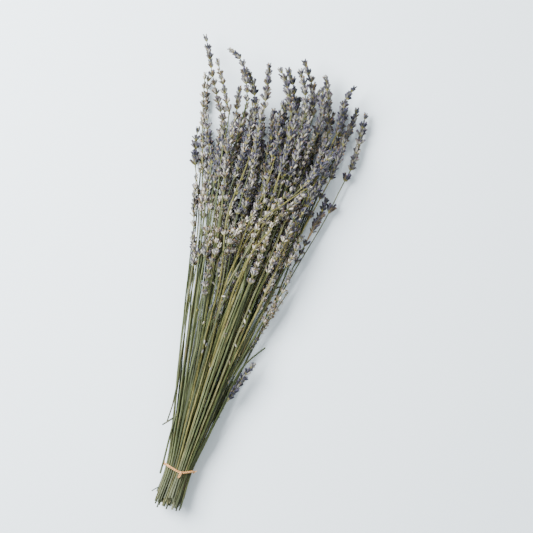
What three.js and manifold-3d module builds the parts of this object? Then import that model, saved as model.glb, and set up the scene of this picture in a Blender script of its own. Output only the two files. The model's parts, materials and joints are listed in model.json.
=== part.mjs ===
// A bunch of dried lavender, tied near its cut ends and lying on its side.
// Millimetres. The stems run along +Y from the cut ends to the flower heads, and +Z is up.
// The origin is under the middle of the whole bunch, on the surface it lies on.
import * as THREE from "three";
import { mergeVertices } from "three/addons/utils/BufferGeometryUtils.js";
import Module from "manifold-3d";

const wasm = await Module();
wasm.setup();

// Stems
const PACKED_WIDTH = 2.3; // a stem's side where the tie presses the stems together
const STEM_WIDTH = 1.9; // a stem's side where it stands free
const NECK_HALF_WIDTH = 15;
const NECK_HALF_HEIGHT = 11.6;
const NECK_HALF_LENGTH = 6;
const CUT_SPREAD = 1.16; // how far the cut ends spread below the tie
const CUT_SHIFT = -2;
const CUT_FLATTEN = 0.97; // the cut ends spread a little less in height than in width
const CUT_LENGTHS = [29, 36]; // from the tie to the shortest and longest usual stem end
const LONGEST_CUT = 44;

// The fan above the tie
const FAN_SLOPE = 0.172; // how fast the half width grows along the bunch
const FAN_TRIM = 2; // what the full fan's half width lacks on that slope
const FAN_HALF_HEIGHT = 19.5;
const PILE_HEIGHT = 50;
const FAN_FULL_AT = 230; // distance from the tie where the fan has its full height
const LEVEL_STEP = 60;
const LEVEL_COUNT = 8;

// Flower spikes
const SPIKE_LENGTHS = [49, 63];
const WHORL_PITCH = 8.1;
const WHORL_RADIUS = 4.6;
const WHORL_LEAN = 0.85; // height of a floret's tip as a share of the pitch
const FLORET_SKEW = 22; // degrees, alternate from whorl to whorl
const AXIS_RADII = [1.5, 0.9]; // spike axis at its base and at its top whorl
const TIP_LENGTH = 5.5;
const SEAT_GAP = 0.3;
const NECKLET = 14; // bare length under a spike that another spike is grown against
const PAIR_DISTANCE = 6.4;
const FLORETS = 4;
const FLORET_REACHES = [0.9, 1.05]; // a floret's reach as a share of its whorl's radius
const FEWEST_WHORLS = 3;
const NARROW_FROM = 0.6; // share of the spike above which its whorls get narrower
const TOP_WHORL = 0.7; // the narrowest whorl as a share of the widest
const BOTTOM_WHORL = 0.8;
const AXIS_STEP = 0.5; // step at which an axis is measured
const JOIN_DEPTH = 0.5; // how far a joining floret reaches past the neighbour's axis

// Tie
const BAND_RADIUS = 1.2;
const BAND_GAP = 0.35;
const NECK_LIFT = 2 * BAND_RADIUS + BAND_GAP; // from the surface to the lowest stem at the tie
const BAND_SIDES = 8;
const BAND_DIP = 2.5; // the tie's lowest point along the bunch, on top of the stems
const BAND_RISE = 0.26; // how steeply its two arms climb from there
const CROSSING_X = -3; // where the lowest point lies across the bunch
const BAND_DIP_HEIGHT = 6; // height over the neck's middle at which the dip is full
const LOOP_LENGTH = 6.5;
const LOOP_RADIUS = 0.75;
const LOOP_SIDES = 6;
const LOOP_STEPS = 10;
const LOOP_HALF_WIDTH = 1.6;
const LOOP_START = -2.2; // where the loop leaves the tie
const LOOP_SHOULDER = -5;
const LOOP_LIFT = 0.5;

// Clearances between neighbours
const SPIKE_CLEARANCE = 4.95;
const STEM_CLEARANCE = 1.34;
const NEIGHBOUR_GAP = 0.35;
const STEM_GAP = 0.45;
const STEM_LIFT = 0.3; // least height of a stem above the surface
const SAMPLE_STEP = 5;
const ROUNDS = 400;
const FREE_ROUNDS = 240; // the last rounds only push stalks apart
const PULL = 0.02;
const STRAIGHTEN = 0.05;
const SOFTEN = 0.7; // the share of a push that is taken in one step
const SETTLED = 0.02; // the largest push at which the bunch counts as settled
const FIRST_SAMPLE = NECK_HALF_LENGTH + 8;
const TIP_MARGIN = 2; // room kept past a tip
const BASE_MARGIN = 1; // start of a spike's room above its base
const TIP_CLEARANCE = 2;
const SLOPE_REACH = 4; // distance each way over which a spike's lean is measured
const STEEPEST = 0.7;

// Stalks placed by hand: [name, x and y of points on the axis up to its tip, spike length
// (0 for a broken stem), height in the neck from -1 to 1, whether a lower spike grows against it]
const PLACED = [
  ["tall_left", [[-49.7, 322], [-74.3, 366.5], [-91.7, 403]], 82, 0.2, true],
  ["second_left", [[-46.8, 333], [-65.5, 367], [-73.9, 382.4]], 50, 0.6, true],
  ["outer_left", [[-70.7, 316], [-77.4, 343], [-83.2, 369]], 50, -0.2, false],
  ["left_slim", [[-52.4, 287], [-63.4, 311], [-70.1, 331]], 46, 0.5, false],
  ["left_dark", [[-70.1, 286.7], [-74.2, 304], [-75.8, 318.6]], 36, -0.4, false],
  ["left_sparse", [[-53.3, 226], [-60.5, 252], [-64.6, 274.4]], 50, 0, false],
  ["left_low", [[-41.6, 194], [-48.8, 208.8], [-52.5, 221.6]], 34, 0.3, false],
  ["hooked", [[-36.5, 354.6], [-41.9, 370], [-48.5, 383.2], [-54.5, 391.9], [-66.2, 395]],
    56, 0.5, true],
  ["top_a", [[-25.2, 347], [-34.5, 368], [-43, 381.4]], 42, 0.1, true],
  ["top_b", [[-19.1, 352.7], [-22.3, 371.5], [-25.8, 392.3]], 42, 0.7, true],
  ["top_c", [[6.7, 353], [-4.9, 379.5], [-16.1, 391]], 44, 0.4, true],
  ["top_d", [[11.4, 357.5], [0.1, 383], [-7.9, 393.5]], 42, -0.3, true],
  ["inner_a", [[-0.9, 331], [-4.2, 353], [-2.6, 361.4]], 40, 0.9, false],
  ["inner_b", [[-3.4, 315.7], [-7.2, 339.3], [-10.2, 353.3]], 44, 0.2, false],
  ["top_e", [[19.6, 359.8], [11.4, 381.2], [3.4, 393.7]], 42, 0.8, true],
  ["tall_middle", [[28, 356.3], [16.8, 388.7], [4.8, 404.5]], 52, 0.1, true],
  ["top_f", [[36.1, 348.7], [32.6, 369.5], [28.3, 384.5]], 44, 0.6, true],
  ["top_g", [[44.9, 347.3], [37.4, 376.8], [28, 397.8]], 54, 0, true],
  ["top_h", [[53.4, 348.8], [51.9, 378], [57.1, 394.3]], 48, 0.4, true],
  ["right_a", [[56.1, 342.6], [56.4, 362.5], [55.7, 375]], 42, -0.4, false],
  ["right_b", [[63.2, 345.6], [65.6, 361.2], [65.6, 377]], 42, 0.2, false],
  ["right_outer", [[49.6, 205], [58, 238.6], [63.6, 257.8], [66.6, 273], [73.3, 308],
    [76.6, 322.8], [76.5, 347.5], [75.3, 374.8]], 56, -0.1, false],
  ["right_c", [[59.7, 306], [61.4, 324.4], [62.5, 344.5]], 40, 0.3, false],
  ["right_d", [[56.5, 251.8], [60.4, 272.7], [61.3, 286.8]], 36, 0.3, false],
  ["right_e", [[43.5, 219], [46.6, 234], [48.4, 244.5]], 32, 0.5, false],
  ["right_pale", [[30.2, 129.6], [38, 164.5], [46.1, 191.5], [47.5, 210.7]], 56, 0.4, false],
  ["drooped", [[23, 72], [25.8, 82.9], [31.7, 100.4], [38.5, 116.2]], 42, 0.3, false],
  ["cross_a", [[-7.8, 176], [9, 245], [34.5, 287], [48, 312], [56, 333]], 50, 1, true],
  ["cross_b", [[-24.5, 193], [-14.5, 223.5], [-4, 249], [8, 269.5]], 56, 1, true],
  ["cross_c", [[4, 205], [16, 243], [32, 272], [44, 292]], 48, 0.9, true],
  ["broken", [[28.3, 110.6], [46.1, 134.2]], 0, 0.6, false],
];
const FILL_PAIRS = 28;
const FILL_TIPS = [246, 389]; // lowest and highest tip of an upper spike that fills the fan
const FILL_DRIFT = 0.3; // how far a filling stalk strays, as a share of the fan's half width
const FILL_RANK = 0.45; // how much a high place in the neck shortens a filling stalk
const FILL_BIAS = 0.8; // below 1 more of them reach far up
const FILL_SCATTER = 8;
const HEIGHT_WEIGHT = 0.5; // how much height counts in the choice of a cell
const BESIDE_ANGLES = [-0.3, Math.PI + 0.3]; // where a lower spike lies round its host's stem
const LOWER_RISE = 0.1; // its place in the neck, above its host's
const LOWER_DROP = 1; // from its host's spike down to its tip
const SHORTEST_PIECE = 6; // of a hand-placed stem, between two of its corners
const SEED = 90;

const MERGE = 1e-3; // corners nearer than this are one corner

const STEM_COLOUR = 0x7c8052;
const TIE_COLOUR = 0xd3a77f;
const SPIKE_COLOURS = [0x6b6580, 0x9d97a3, 0x575063];

// A seeded source of numbers from 0 to 1
function randomSource(seed) {
  let state = seed >>> 0;
  return () => {
    state = (state + 0x6d2b79f5) >>> 0;
    let t = Math.imul(state ^ (state >>> 15), state | 1);
    t = (t + Math.imul(t ^ (t >>> 7), t | 61)) ^ t;
    return ((t ^ (t >>> 14)) >>> 0) / 4294967296;
  };
}
const random = randomSource(SEED);
const between = (low, high) => low + (high - low) * random();
const mix = (a, b, t) => a + (b - a) * t;

// The cells of the neck: one packed stem each, inside an ellipse
function neckCells() {
  const cells = [];
  const rows = Math.ceil(NECK_HALF_HEIGHT / PACKED_WIDTH);
  const columns = Math.ceil(NECK_HALF_WIDTH / PACKED_WIDTH);
  for (let j = -rows; j < rows; j++)
    for (let i = -columns; i <= columns; i++) {
      const x = i * PACKED_WIDTH;
      const z = (j + 0.5) * PACKED_WIDTH;
      const u = x / NECK_HALF_WIDTH;
      const v = z / NECK_HALF_HEIGHT;
      if (u * u + v * v <= 1) cells.push({ i, j, x, z, u, v, taken: false });
    }
  return cells;
}
const cells = neckCells();
const NECK_BOTTOM = Math.min(...cells.map((c) => c.z)) - PACKED_WIDTH / 2;
const NECK_CENTRE = NECK_LIFT - NECK_BOTTOM; // height of the neck's middle

function takeNearest(u, v) {
  let best = null;
  let least = Infinity;
  for (const cell of cells) {
    const cost = (cell.u - u) ** 2 + HEIGHT_WEIGHT * (cell.v - v) ** 2;
    if (!cell.taken && cost < least) {
      least = cost;
      best = cell;
    }
  }
  best.taken = true;
  return best;
}

// Where a neck place (u, v) lies at distance y from the tie: an ellipse at the neck, and a
// mound with a flat underside where the fan is full
const fanHalfWidth = (y) =>
  NECK_HALF_WIDTH + FAN_SLOPE * y - FAN_TRIM * Math.min(1, y / FAN_FULL_AT);
function fanPlace(u, v, y) {
  const full = Math.min(1, y / FAN_FULL_AT);
  const chord = Math.sqrt(Math.max(0, 1 - u * u));
  const height = mix(NECK_HALF_HEIGHT, FAN_HALF_HEIGHT, full);
  const lowest = mix(NECK_LIFT, SPIKE_CLEARANCE, full);
  return {
    x: fanHalfWidth(y) * u,
    z: lowest + height * (v + chord + (1 - full) * (1 - chord)),
  };
}

const levels = Array.from({ length: LEVEL_COUNT }, (_, l) => NECK_HALF_LENGTH + l * LEVEL_STEP);

// A stalk holds the x and z of its axis at each level, and where its spike starts and ends
function makeStalk(name, cell, tip, length, points) {
  const stalk = { name, cell, tip, base: tip - length, points, x: [], z: [], aim: [] };
  stalk.stemTop = stalk.base;
  return stalk;
}

// The x of a hand-placed point line at distance y
function alongPoints(points, y) {
  let k = 0;
  while (k < points.length - 2 && y > points[k + 1][1]) k++;
  const [[x0, y0], [x1, y1]] = [points[k], points[k + 1]];
  return mix(x0, x1, (y - y0) / (y1 - y0));
}

// The share of the way between two levels, and the lower one's number
function levelAt(y) {
  const l = Math.min(levels.length - 2, Math.max(0, Math.floor((y - levels[0]) / LEVEL_STEP)));
  return [l, (y - levels[l]) / LEVEL_STEP];
}

// Whether a stalk's x is held by its placed points at distance y
const isHeld = (stalk, y) => Boolean(stalk.points) && y >= stalk.points[0][1];

// The end of a stalk's free stretch that starts at a level: the next level or its first point
function stretchEnd(stalk, l) {
  const start = stalk.points ? stalk.points[0][1] : Infinity;
  return start > levels[l] && start <= levels[l + 1]
    ? { y: start, x: stalk.points[0][0] }
    : { y: levels[l + 1], x: stalk.x[l + 1] };
}

function axisAt(stalk, y) {
  const [l, t] = levelAt(y);
  const z = mix(stalk.z[l], stalk.z[l + 1], t);
  if (isHeld(stalk, y)) return { x: alongPoints(stalk.points, y), z };
  const end = stretchEnd(stalk, l);
  return { x: mix(stalk.x[l], end.x, (y - levels[l]) / (end.y - levels[l])), z };
}

function shuffled(list) {
  const copy = [...list];
  for (let k = copy.length - 1; k > 0; k--) {
    const other = Math.floor(random() * (k + 1));
    [copy[k], copy[other]] = [copy[other], copy[k]];
  }
  return copy;
}

// Sets where a stalk wants to run: fanned out from its cell, with its own drift
function aimStalk(stalk, drift) {
  const du = between(-drift, drift);
  const dv = between(-drift, drift);
  for (const y of levels) {
    const grown = Math.min(1, (y - levels[0]) / FAN_FULL_AT);
    const u = Math.max(-1, Math.min(1, stalk.cell.u + du * grown));
    stalk.aim.push(fanPlace(u, stalk.cell.v + dv * grown, y));
  }
}

// Starts a stalk on its aim, with hand-placed points held where they are
function settle(stalk) {
  stalk.aim.forEach((place, l) => {
    const held = isHeld(stalk, levels[l]);
    stalk.x.push(held ? alongPoints(stalk.points, levels[l]) : place.x);
    stalk.z.push(place.z);
  });
  stalk.x[0] = stalk.cell.x;
  stalk.z[0] = stalk.cell.z + NECK_CENTRE;
}

// Aims a lower spike at the place beside the stem of the spike above it
function aimBeside(lower, upper) {
  const angle = between(...BESIDE_ANGLES);
  upper.aim.forEach((place, l) => {
    const near = Math.min(1, levels[l] / lower.tip) ** 2;
    const own = fanPlace(lower.cell.u, lower.cell.v, levels[l]);
    const beside = {
      x: place.x + PAIR_DISTANCE * Math.cos(angle),
      z: place.z + PAIR_DISTANCE * Math.sin(angle),
    };
    lower.aim.push({ x: mix(own.x, beside.x, near), z: mix(own.z, beside.z, near) });
  });
}

function addLower(stalks, upper) {
  const cell = takeNearest(upper.cell.u, upper.cell.v + LOWER_RISE);
  const tip = upper.base - LOWER_DROP;
  const lower = makeStalk(upper.name + "_lower", cell, tip, between(...SPIKE_LENGTHS), null);
  upper.stemTop = upper.base - NECKLET;
  upper.mate = lower;
  lower.host = upper;
  aimBeside(lower, upper);
  stalks.push(lower);
}

function makeStalks() {
  const stalks = [];
  const paired = [];
  const lowestFirst = [...PLACED].sort((a, b) => a[1][0][1] - b[1][0][1]);
  for (const [name, points, length, v, hasLower] of lowestFirst) {
    const [x, y] = points[0];
    const [, tip] = points[points.length - 1];
    const cell = takeNearest(x / fanHalfWidth(y), v);
    const stalk = makeStalk(name, cell, tip, length && lengthAlong(points, length), points);
    stalk.bare = length === 0;
    aimStalk(stalk, 0);
    stalks.push(stalk);
    if (hasLower) paired.push(stalk);
  }
  paired.forEach((upper) => addLower(stalks, upper));
  addFill(stalks);
  stalks.forEach(settle);
  return stalks;
}

// How far a spike of the given length reaches back along y from the last of its points
function lengthAlong(points, length) {
  let left = length;
  for (let k = points.length - 1; k > 0; k--) {
    const [[x0, y0], [x1, y1]] = [points[k - 1], points[k]];
    const piece = Math.hypot(x1 - x0, y1 - y0);
    if (piece >= left || k === 1)
      return points[points.length - 1][1] - (y1 - (left / piece) * (y1 - y0));
    left -= piece;
  }
  return length;
}

// Fills the rest of the neck with pairs of spikes, the upper layers ending lower
function addFill(stalks) {
  const ranks = shuffled(Array.from({ length: FILL_PAIRS }, (_, k) => (k + 0.5) / FILL_PAIRS));
  const hosts = [];
  for (let k = 0; k < FILL_PAIRS; k++) {
    const open = shuffled(cells.filter((c) => !c.taken));
    const cell = takeNearest(open[0].u, open[0].v);
    hosts.push({ cell, rank: ranks[k] + FILL_RANK * (cell.v + 1) });
  }
  hosts.sort((a, b) => a.rank - b.rank);
  hosts.forEach((host, k) => {
    const share = 1 - (k + 0.5) / FILL_PAIRS;
    const tip = mix(...FILL_TIPS, share ** FILL_BIAS) + between(-FILL_SCATTER, FILL_SCATTER);
    const upper = makeStalk("inner_" + k, host.cell, tip, between(...SPIKE_LENGTHS), null);
    aimStalk(upper, FILL_DRIFT);
    stalks.push(upper);
    addLower(stalks, upper);
  });
}

// The room that a stalk takes at distance y: its radius, and whether that is bare stem
function roomAt(stalk, y) {
  if (y > stalk.tip + TIP_MARGIN) return null;
  if (stalk.bare || y < stalk.base + BASE_MARGIN) return { radius: STEM_CLEARANCE, stem: true };
  if (y > stalk.tip - TIP_LENGTH) return { radius: TIP_CLEARANCE, stem: false };
  const [a, b] = [axisAt(stalk, y - SLOPE_REACH), axisAt(stalk, y + SLOPE_REACH)];
  const slope = Math.min(STEEPEST, Math.hypot(b.x - a.x, b.z - a.z) / (2 * SLOPE_REACH));
  return { radius: SPIKE_CLEARANCE * Math.hypot(1, slope), stem: false };
}

// The push that parts two stalks at one sample, along x and z, or null. Two that are both
// held in x part only in height.
function pushBetween(a, b) {
  const dx = b.x - a.x;
  const dz = b.z - a.z;
  if (a.held && b.held) {
    const apart = a.stem && b.stem ? STEM_WIDTH + STEM_GAP : a.radius + b.radius + NEIGHBOUR_GAP;
    const missing = Math.sqrt(Math.max(0, apart ** 2 - dx ** 2)) - Math.abs(dz);
    return missing > 0 ? [0, missing * (dz < 0 ? -1 : 1)] : null;
  }
  if (a.stem && b.stem) {
    const need = STEM_WIDTH + STEM_GAP;
    if (Math.max(Math.abs(dx), Math.abs(dz)) >= need) return null;
    if (Math.abs(dx) > Math.abs(dz)) return [(need - Math.abs(dx)) * (dx < 0 ? -1 : 1), 0];
    return [0, (need - Math.abs(dz)) * (dz < 0 ? -1 : 1)];
  }
  const joined = a.stalk.host === b.stalk || b.stalk.host === a.stalk;
  const need = joined ? PAIR_DISTANCE : a.radius + b.radius + NEIGHBOUR_GAP;
  const distance = Math.max(1e-3, Math.hypot(dx, dz));
  if (distance >= need) return null;
  const share = (need - distance) / distance;
  return [dx * share, dz * share];
}

// Moves a stalk's levels so that its axis at distance y moves by dx and dz
function nudge(stalk, y, dx, dz) {
  const [l, t] = levelAt(y);
  const weights = (share) => {
    const total = (1 - share) ** 2 + share ** 2;
    return [(1 - share) / total, share / total];
  };
  weights(t).forEach((weight, k) => {
    if (l + k > 0) stalk.z[l + k] += dz * weight;
  });
  if (isHeld(stalk, y)) return;
  const across = (y - levels[l]) / (stretchEnd(stalk, l).y - levels[l]);
  weights(across).forEach((weight, k) => {
    if (l + k > 0 && !isHeld(stalk, levels[l + k])) stalk.x[l + k] += dx * weight;
  });
}

function partAt(stalks, y) {
  const here = [];
  for (const stalk of stalks) {
    const room = roomAt(stalk, y);
    const held = isHeld(stalk, y);
    if (room) here.push({ stalk, held, ...axisAt(stalk, y), ...room, dx: 0, dz: 0 });
  }
  for (let i = 0; i < here.length; i++)
    for (let j = i + 1; j < here.length; j++) {
      const push = pushBetween(here[i], here[j]);
      if (!push) continue;
      const { held } = here[i];
      const share = held === here[j].held ? 0.5 : held ? 0 : 1;
      here[i].dx -= push[0] * share;
      here[j].dx += push[0] * (1 - share);
      here[i].dz -= push[1] * 0.5;
      here[j].dz += push[1] * 0.5;
    }
  let worst = 0;
  for (const place of here) {
    const reach = place.stem ? STEM_WIDTH / 2 + STEM_LIFT : place.radius;
    const lift = reach - place.z - place.dz;
    const excess = place.z + place.dz + reach - PILE_HEIGHT;
    if (lift > 0) place.dz += lift;
    else if (excess > 0) place.dz -= excess;
    worst = Math.max(worst, Math.hypot(place.dx, place.dz));
    nudge(place.stalk, y, SOFTEN * place.dx, SOFTEN * place.dz);
  }
  return worst;
}

// Draws the tip of each lower spike to the stem that it is grown against
function drawPairs(stalks) {
  for (const lower of stalks.filter((s) => s.host)) {
    const y = lower.tip - TIP_LENGTH;
    const [a, b] = [axisAt(lower.host, y), axisAt(lower, y)];
    const distance = Math.hypot(b.x - a.x, b.z - a.z);
    if (distance <= PAIR_DISTANCE) continue;
    const share = (0.5 * (distance - PAIR_DISTANCE)) / distance;
    nudge(lower, y, (a.x - b.x) * share, (a.z - b.z) * share);
    nudge(lower.host, y, (b.x - a.x) * share, (b.z - a.z) * share);
  }
}

// Pulls a stalk a little towards its aim and straightens it
function ease(stalk, pull) {
  for (let l = 1; l < levels.length; l++) {
    const ends = [Math.max(0, l - 1), Math.min(levels.length - 1, l + 1)];
    const inner = l < levels.length - 1 ? STRAIGHTEN : 0;
    const straight = (axis) => (axis[ends[0]] + axis[ends[1]]) / 2 - axis[l];
    if (!isHeld(stalk, levels[l]))
      stalk.x[l] += (stalk.aim[l].x - stalk.x[l]) * pull + straight(stalk.x) * inner;
    stalk.z[l] += (stalk.aim[l].z - stalk.z[l]) * pull + straight(stalk.z) * inner;
  }
}

// Settles the bunch: first drawn to their aims, then only pushed apart
function relax(stalks) {
  for (let round = 0; round < ROUNDS; round++) {
    const pull = round < ROUNDS - FREE_ROUNDS ? PULL : 0;
    if (pull) stalks.forEach((stalk) => ease(stalk, pull));
    drawPairs(stalks);
    let worst = 0;
    for (let y = FIRST_SAMPLE; y < levels[levels.length - 1]; y += SAMPLE_STEP)
      worst = Math.max(worst, partAt(stalks, y));
    if (!pull && worst < SETTLED) break;
  }
}

// Mesh building: a list of corners and triangles
const newMesh = () => ({ corners: [], faces: [] });
function addCorner(mesh, point) {
  mesh.corners.push(point);
  return mesh.corners.length - 1;
}
function addQuad(mesh, a, b, c, d) {
  mesh.faces.push([a, b, c], [a, c, d]);
}
function joinRings(mesh, lower, upper) {
  for (let k = 0; k < lower.length; k++) {
    const next = (k + 1) % lower.length;
    addQuad(mesh, lower[k], lower[next], upper[next], upper[k]);
  }
}
function geometryOf(mesh) {
  const flat = mesh.faces.flatMap((face) => face.flatMap((k) => mesh.corners[k]));
  const geometry = new THREE.BufferGeometry();
  geometry.setAttribute("position", new THREE.Float32BufferAttribute(flat, 3));
  return mergeVertices(geometry, MERGE);
}
function solidOf(geometry) {
  return new wasm.Manifold(new wasm.Mesh({
    numProp: 3,
    vertProperties: geometry.getAttribute("position").array,
    triVerts: new Uint32Array(geometry.index.array),
  }));
}
function geometryOfSolid(solid) {
  const made = solid.getMesh();
  const geometry = new THREE.BufferGeometry();
  const places = new Float32Array(made.numVert * 3);
  for (let k = 0; k < made.numVert; k++)
    places.set(made.vertProperties.subarray(k * made.numProp, k * made.numProp + 3), k * 3);
  geometry.setAttribute("position", new THREE.BufferAttribute(places, 3));
  geometry.setIndex(new THREE.BufferAttribute(new Uint32Array(made.triVerts), 1));
  return geometry;
}

// The four corners of a square stem round (x, z) at distance y, seen from the heads
function squareRing(mesh, x, y, z, width) {
  const h = width / 2;
  const signs = [[-1, -1], [-1, 1], [1, 1], [1, -1]];
  return signs.map(([sx, sz]) => addCorner(mesh, [x + sx * h, y, z + sz * h]));
}

// Distances at which a stem bends, up to its top
function stemCorners(stalk) {
  const top = stalk.stemTop - (stalk.bare ? 0 : SEAT_GAP);
  const placed = stalk.points ? stalk.points.map((p) => p[1]) : [];
  const stops = [...levels.slice(1), ...placed].filter((y) => y < top - SEAT_GAP);
  const ordered = [...new Set([...stops, top])].sort((a, b) => a - b);
  const last = ordered.length - 1;
  return ordered.filter((y, k) =>
    k === last || !stalk.points || ordered[k + 1] - y > SHORTEST_PIECE);
}

// One stem from the neck's upper face to the seat of its spike
function addStemAbove(mesh, stalk) {
  const { x, z } = stalk.cell;
  let ring = squareRing(mesh, x, NECK_HALF_LENGTH, z + NECK_CENTRE, PACKED_WIDTH);
  for (const y of stemCorners(stalk)) {
    const place = axisAt(stalk, y);
    const next = squareRing(mesh, place.x, y, place.z, STEM_WIDTH);
    joinRings(mesh, ring, next);
    ring = next;
  }
  addQuad(mesh, ring[0], ring[1], ring[2], ring[3]);
}

// One stem from the neck's lower face to its cut end
function addStemBelow(mesh, stalk) {
  const { x, z } = stalk.cell;
  const endX = x * CUT_SPREAD + CUT_SHIFT;
  const endZ = z * CUT_SPREAD * CUT_FLATTEN + NECK_CENTRE;
  const lower = squareRing(mesh, endX, -stalk.cut, endZ, STEM_WIDTH);
  const upper = squareRing(mesh, x, -NECK_HALF_LENGTH, z + NECK_CENTRE, PACKED_WIDTH);
  joinRings(mesh, lower, upper);
  addQuad(mesh, lower[3], lower[2], lower[1], lower[0]);
}

// The outer walls of the neck, where no neighbouring cell covers a side
function addNeckWalls(mesh) {
  const key = (i, j) => i + "," + j;
  const full = new Set(cells.map((c) => key(c.i, c.j)));
  const sides = [[-1, 0, 0, 1], [0, 1, 1, 2], [1, 0, 2, 3], [0, -1, 3, 0]];
  for (const cell of cells) {
    const height = cell.z + NECK_CENTRE;
    const low = squareRing(mesh, cell.x, -NECK_HALF_LENGTH, height, PACKED_WIDTH);
    const high = squareRing(mesh, cell.x, NECK_HALF_LENGTH, height, PACKED_WIDTH);
    for (const [di, dj, a, b] of sides)
      if (!full.has(key(cell.i + di, cell.j + dj)))
        addQuad(mesh, low[a], low[b], high[b], high[a]);
  }
}

function stemsGeometry(stalks) {
  const mesh = newMesh();
  addNeckWalls(mesh);
  for (const stalk of stalks) {
    addStemAbove(mesh, stalk);
    addStemBelow(mesh, stalk);
  }
  return geometryOf(mesh);
}

// Points at equal steps along a spike's axis, from its base to the root of its tip
function axisPoints(stalk, from, to, count) {
  const fine = [];
  const steps = Math.ceil((to - from) / AXIS_STEP);
  for (let k = 0; k <= steps; k++) {
    const y = mix(from, to, k / steps);
    const place = axisAt(stalk, y);
    fine.push(new THREE.Vector3(place.x, y, place.z));
  }
  const line = new THREE.CurvePath();
  for (let k = 0; k < fine.length - 1; k++) line.add(new THREE.LineCurve3(fine[k], fine[k + 1]));
  return Array.from({ length: count + 1 }, (_, k) => line.getPointAt(k / count));
}

// The length of a spike's axis from its base to its tip
function arcLength(stalk) {
  const steps = Math.ceil((stalk.tip - stalk.base) / AXIS_STEP);
  let length = 0;
  let before = axisAt(stalk, stalk.base);
  for (let k = 1; k <= steps; k++) {
    const place = axisAt(stalk, mix(stalk.base, stalk.tip, k / steps));
    const rise = (stalk.tip - stalk.base) / steps;
    length += Math.hypot(place.x - before.x, rise, place.z - before.z);
    before = place;
  }
  return length;
}

// A square ring across the axis, turned by an angle about it
function turnedRing(mesh, frame, radius, turn) {
  return [0, 1, 2, 3].map((k) => {
    const angle = turn + Math.PI / 4 + (k * Math.PI) / 2;
    return addCorner(mesh, frame.at(radius, angle, 0));
  });
}

// A frame at a point: at(radius, angle, along) gives a place round the axis direction
function frameAt(point, direction) {
  const side = new THREE.Vector3(direction.y, -direction.x, 0).normalize();
  const up = new THREE.Vector3().crossVectors(side, direction);
  return {
    at: (radius, angle, along) =>
      point.clone()
        .addScaledVector(side, -radius * Math.cos(angle))
        .addScaledVector(up, radius * Math.sin(angle))
        .addScaledVector(direction, along).toArray(),
  };
}

// A whorl's width, by its share of the way up the spike
function whorlSwell(share) {
  const narrowed = Math.max(0, share - NARROW_FROM) / (1 - NARROW_FROM);
  return Math.min(1, BOTTOM_WHORL + share) * mix(1, TOP_WHORL, narrowed);
}

// Frames along a spike's axis: at its foot, then at each step between its points
function spikeFrames(stalk, points) {
  const north = new THREE.Vector3(0, 1, 0);
  const frames = points.slice(0, -1).map((point, k) => {
    const before = points[Math.max(0, k - 1)];
    const along = points[k + 1].clone().sub(before).normalize();
    return frameAt(point, k || stalk.mate ? along : north);
  });
  if (!stalk.mate) return { foot: frames[0], frames };
  const { x, z } = axisAt(stalk, stalk.stemTop);
  return { foot: frameAt(new THREE.Vector3(x, stalk.stemTop, z), north), frames };
}

// One spike: a square axis whose sides carry a floret at each whorl, and a pointed tip. A
// spike that another is grown against has a bare length of stem under it.
function spikeMesh(stalk) {
  const mesh = newMesh();
  const whorls = Math.max(FEWEST_WHORLS, Math.round((stalk.arc - TIP_LENGTH) / WHORL_PITCH));
  const points = axisPoints(stalk, stalk.base, stalk.tip - stalk.tipRise, whorls);
  const end = axisAt(stalk, stalk.tip);
  points.push(new THREE.Vector3(end.x, stalk.tip, end.z));
  const { foot, frames } = spikeFrames(stalk, points);
  const rings = frames.map((frame, k) =>
    turnedRing(mesh, frame, mix(...AXIS_RADII, k / whorls), stalk.turn));
  const cap = stalk.mate ? turnedRing(mesh, foot, AXIS_RADII[0], stalk.turn) : rings[0];
  if (stalk.mate) joinRings(mesh, cap, rings[0]);
  addQuad(mesh, cap[3], cap[2], cap[1], cap[0]);
  for (let w = 0; w < whorls; w++) addWhorl(mesh, stalk, w, rings, frames, points);
  const tip = addCorner(mesh, points[points.length - 1].toArray());
  const last = rings[whorls];
  last.forEach((corner, k) => mesh.faces.push([corner, last[(k + 1) % FLORETS], tip]));
  return mesh;
}

// The florets of one whorl: a pyramid on each side of the axis, leaning to the tip
function addWhorl(mesh, stalk, w, rings, frames, points) {
  const whorls = rings.length - 1;
  const [lower, upper] = [rings[w], rings[w + 1]];
  const pitch = points[w + 1].distanceTo(points[w]);
  const radius = WHORL_RADIUS * whorlSwell((w + 0.5) / whorls);
  const skew = THREE.MathUtils.degToRad(FLORET_SKEW) * (w % 2 ? 1 : -1);
  for (let k = 0; k < FLORETS; k++) {
    const next = (k + 1) % FLORETS;
    const side = stalk.turn + ((k + 1) * Math.PI) / 2;
    const reach = radius * between(...FLORET_REACHES);
    const joins = stalk.host && w === whorls - 1 && k === FLORETS - 1;
    const place = joins
      ? joinPlace(stalk, points[w + 1].y)
      : frames[w].at(reach, side + skew, pitch * WHORL_LEAN);
    const tip = addCorner(mesh, place);
    for (const [a, b] of [[lower[k], lower[next]], [lower[next], upper[next]],
      [upper[next], upper[k]], [upper[k], lower[k]]])
      mesh.faces.push([a, b, tip]);
  }
}

// The place inside the neighbouring stalk's axis that the joining floret reaches
function joinPlace(stalk, y) {
  const { host } = stalk;
  const [low, high] = [axisAt(host, host.stemTop), axisAt(host, host.base)];
  const share = (y - host.stemTop) / (host.base - host.stemTop);
  const x = mix(low.x, high.x, share);
  const z = mix(low.z, high.z, share);
  const own = axisAt(stalk, y);
  const across = new THREE.Vector3(x - own.x, 0, z - own.z).normalize();
  return [x + across.x * JOIN_DEPTH, y, z + across.z * JOIN_DEPTH];
}

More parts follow.
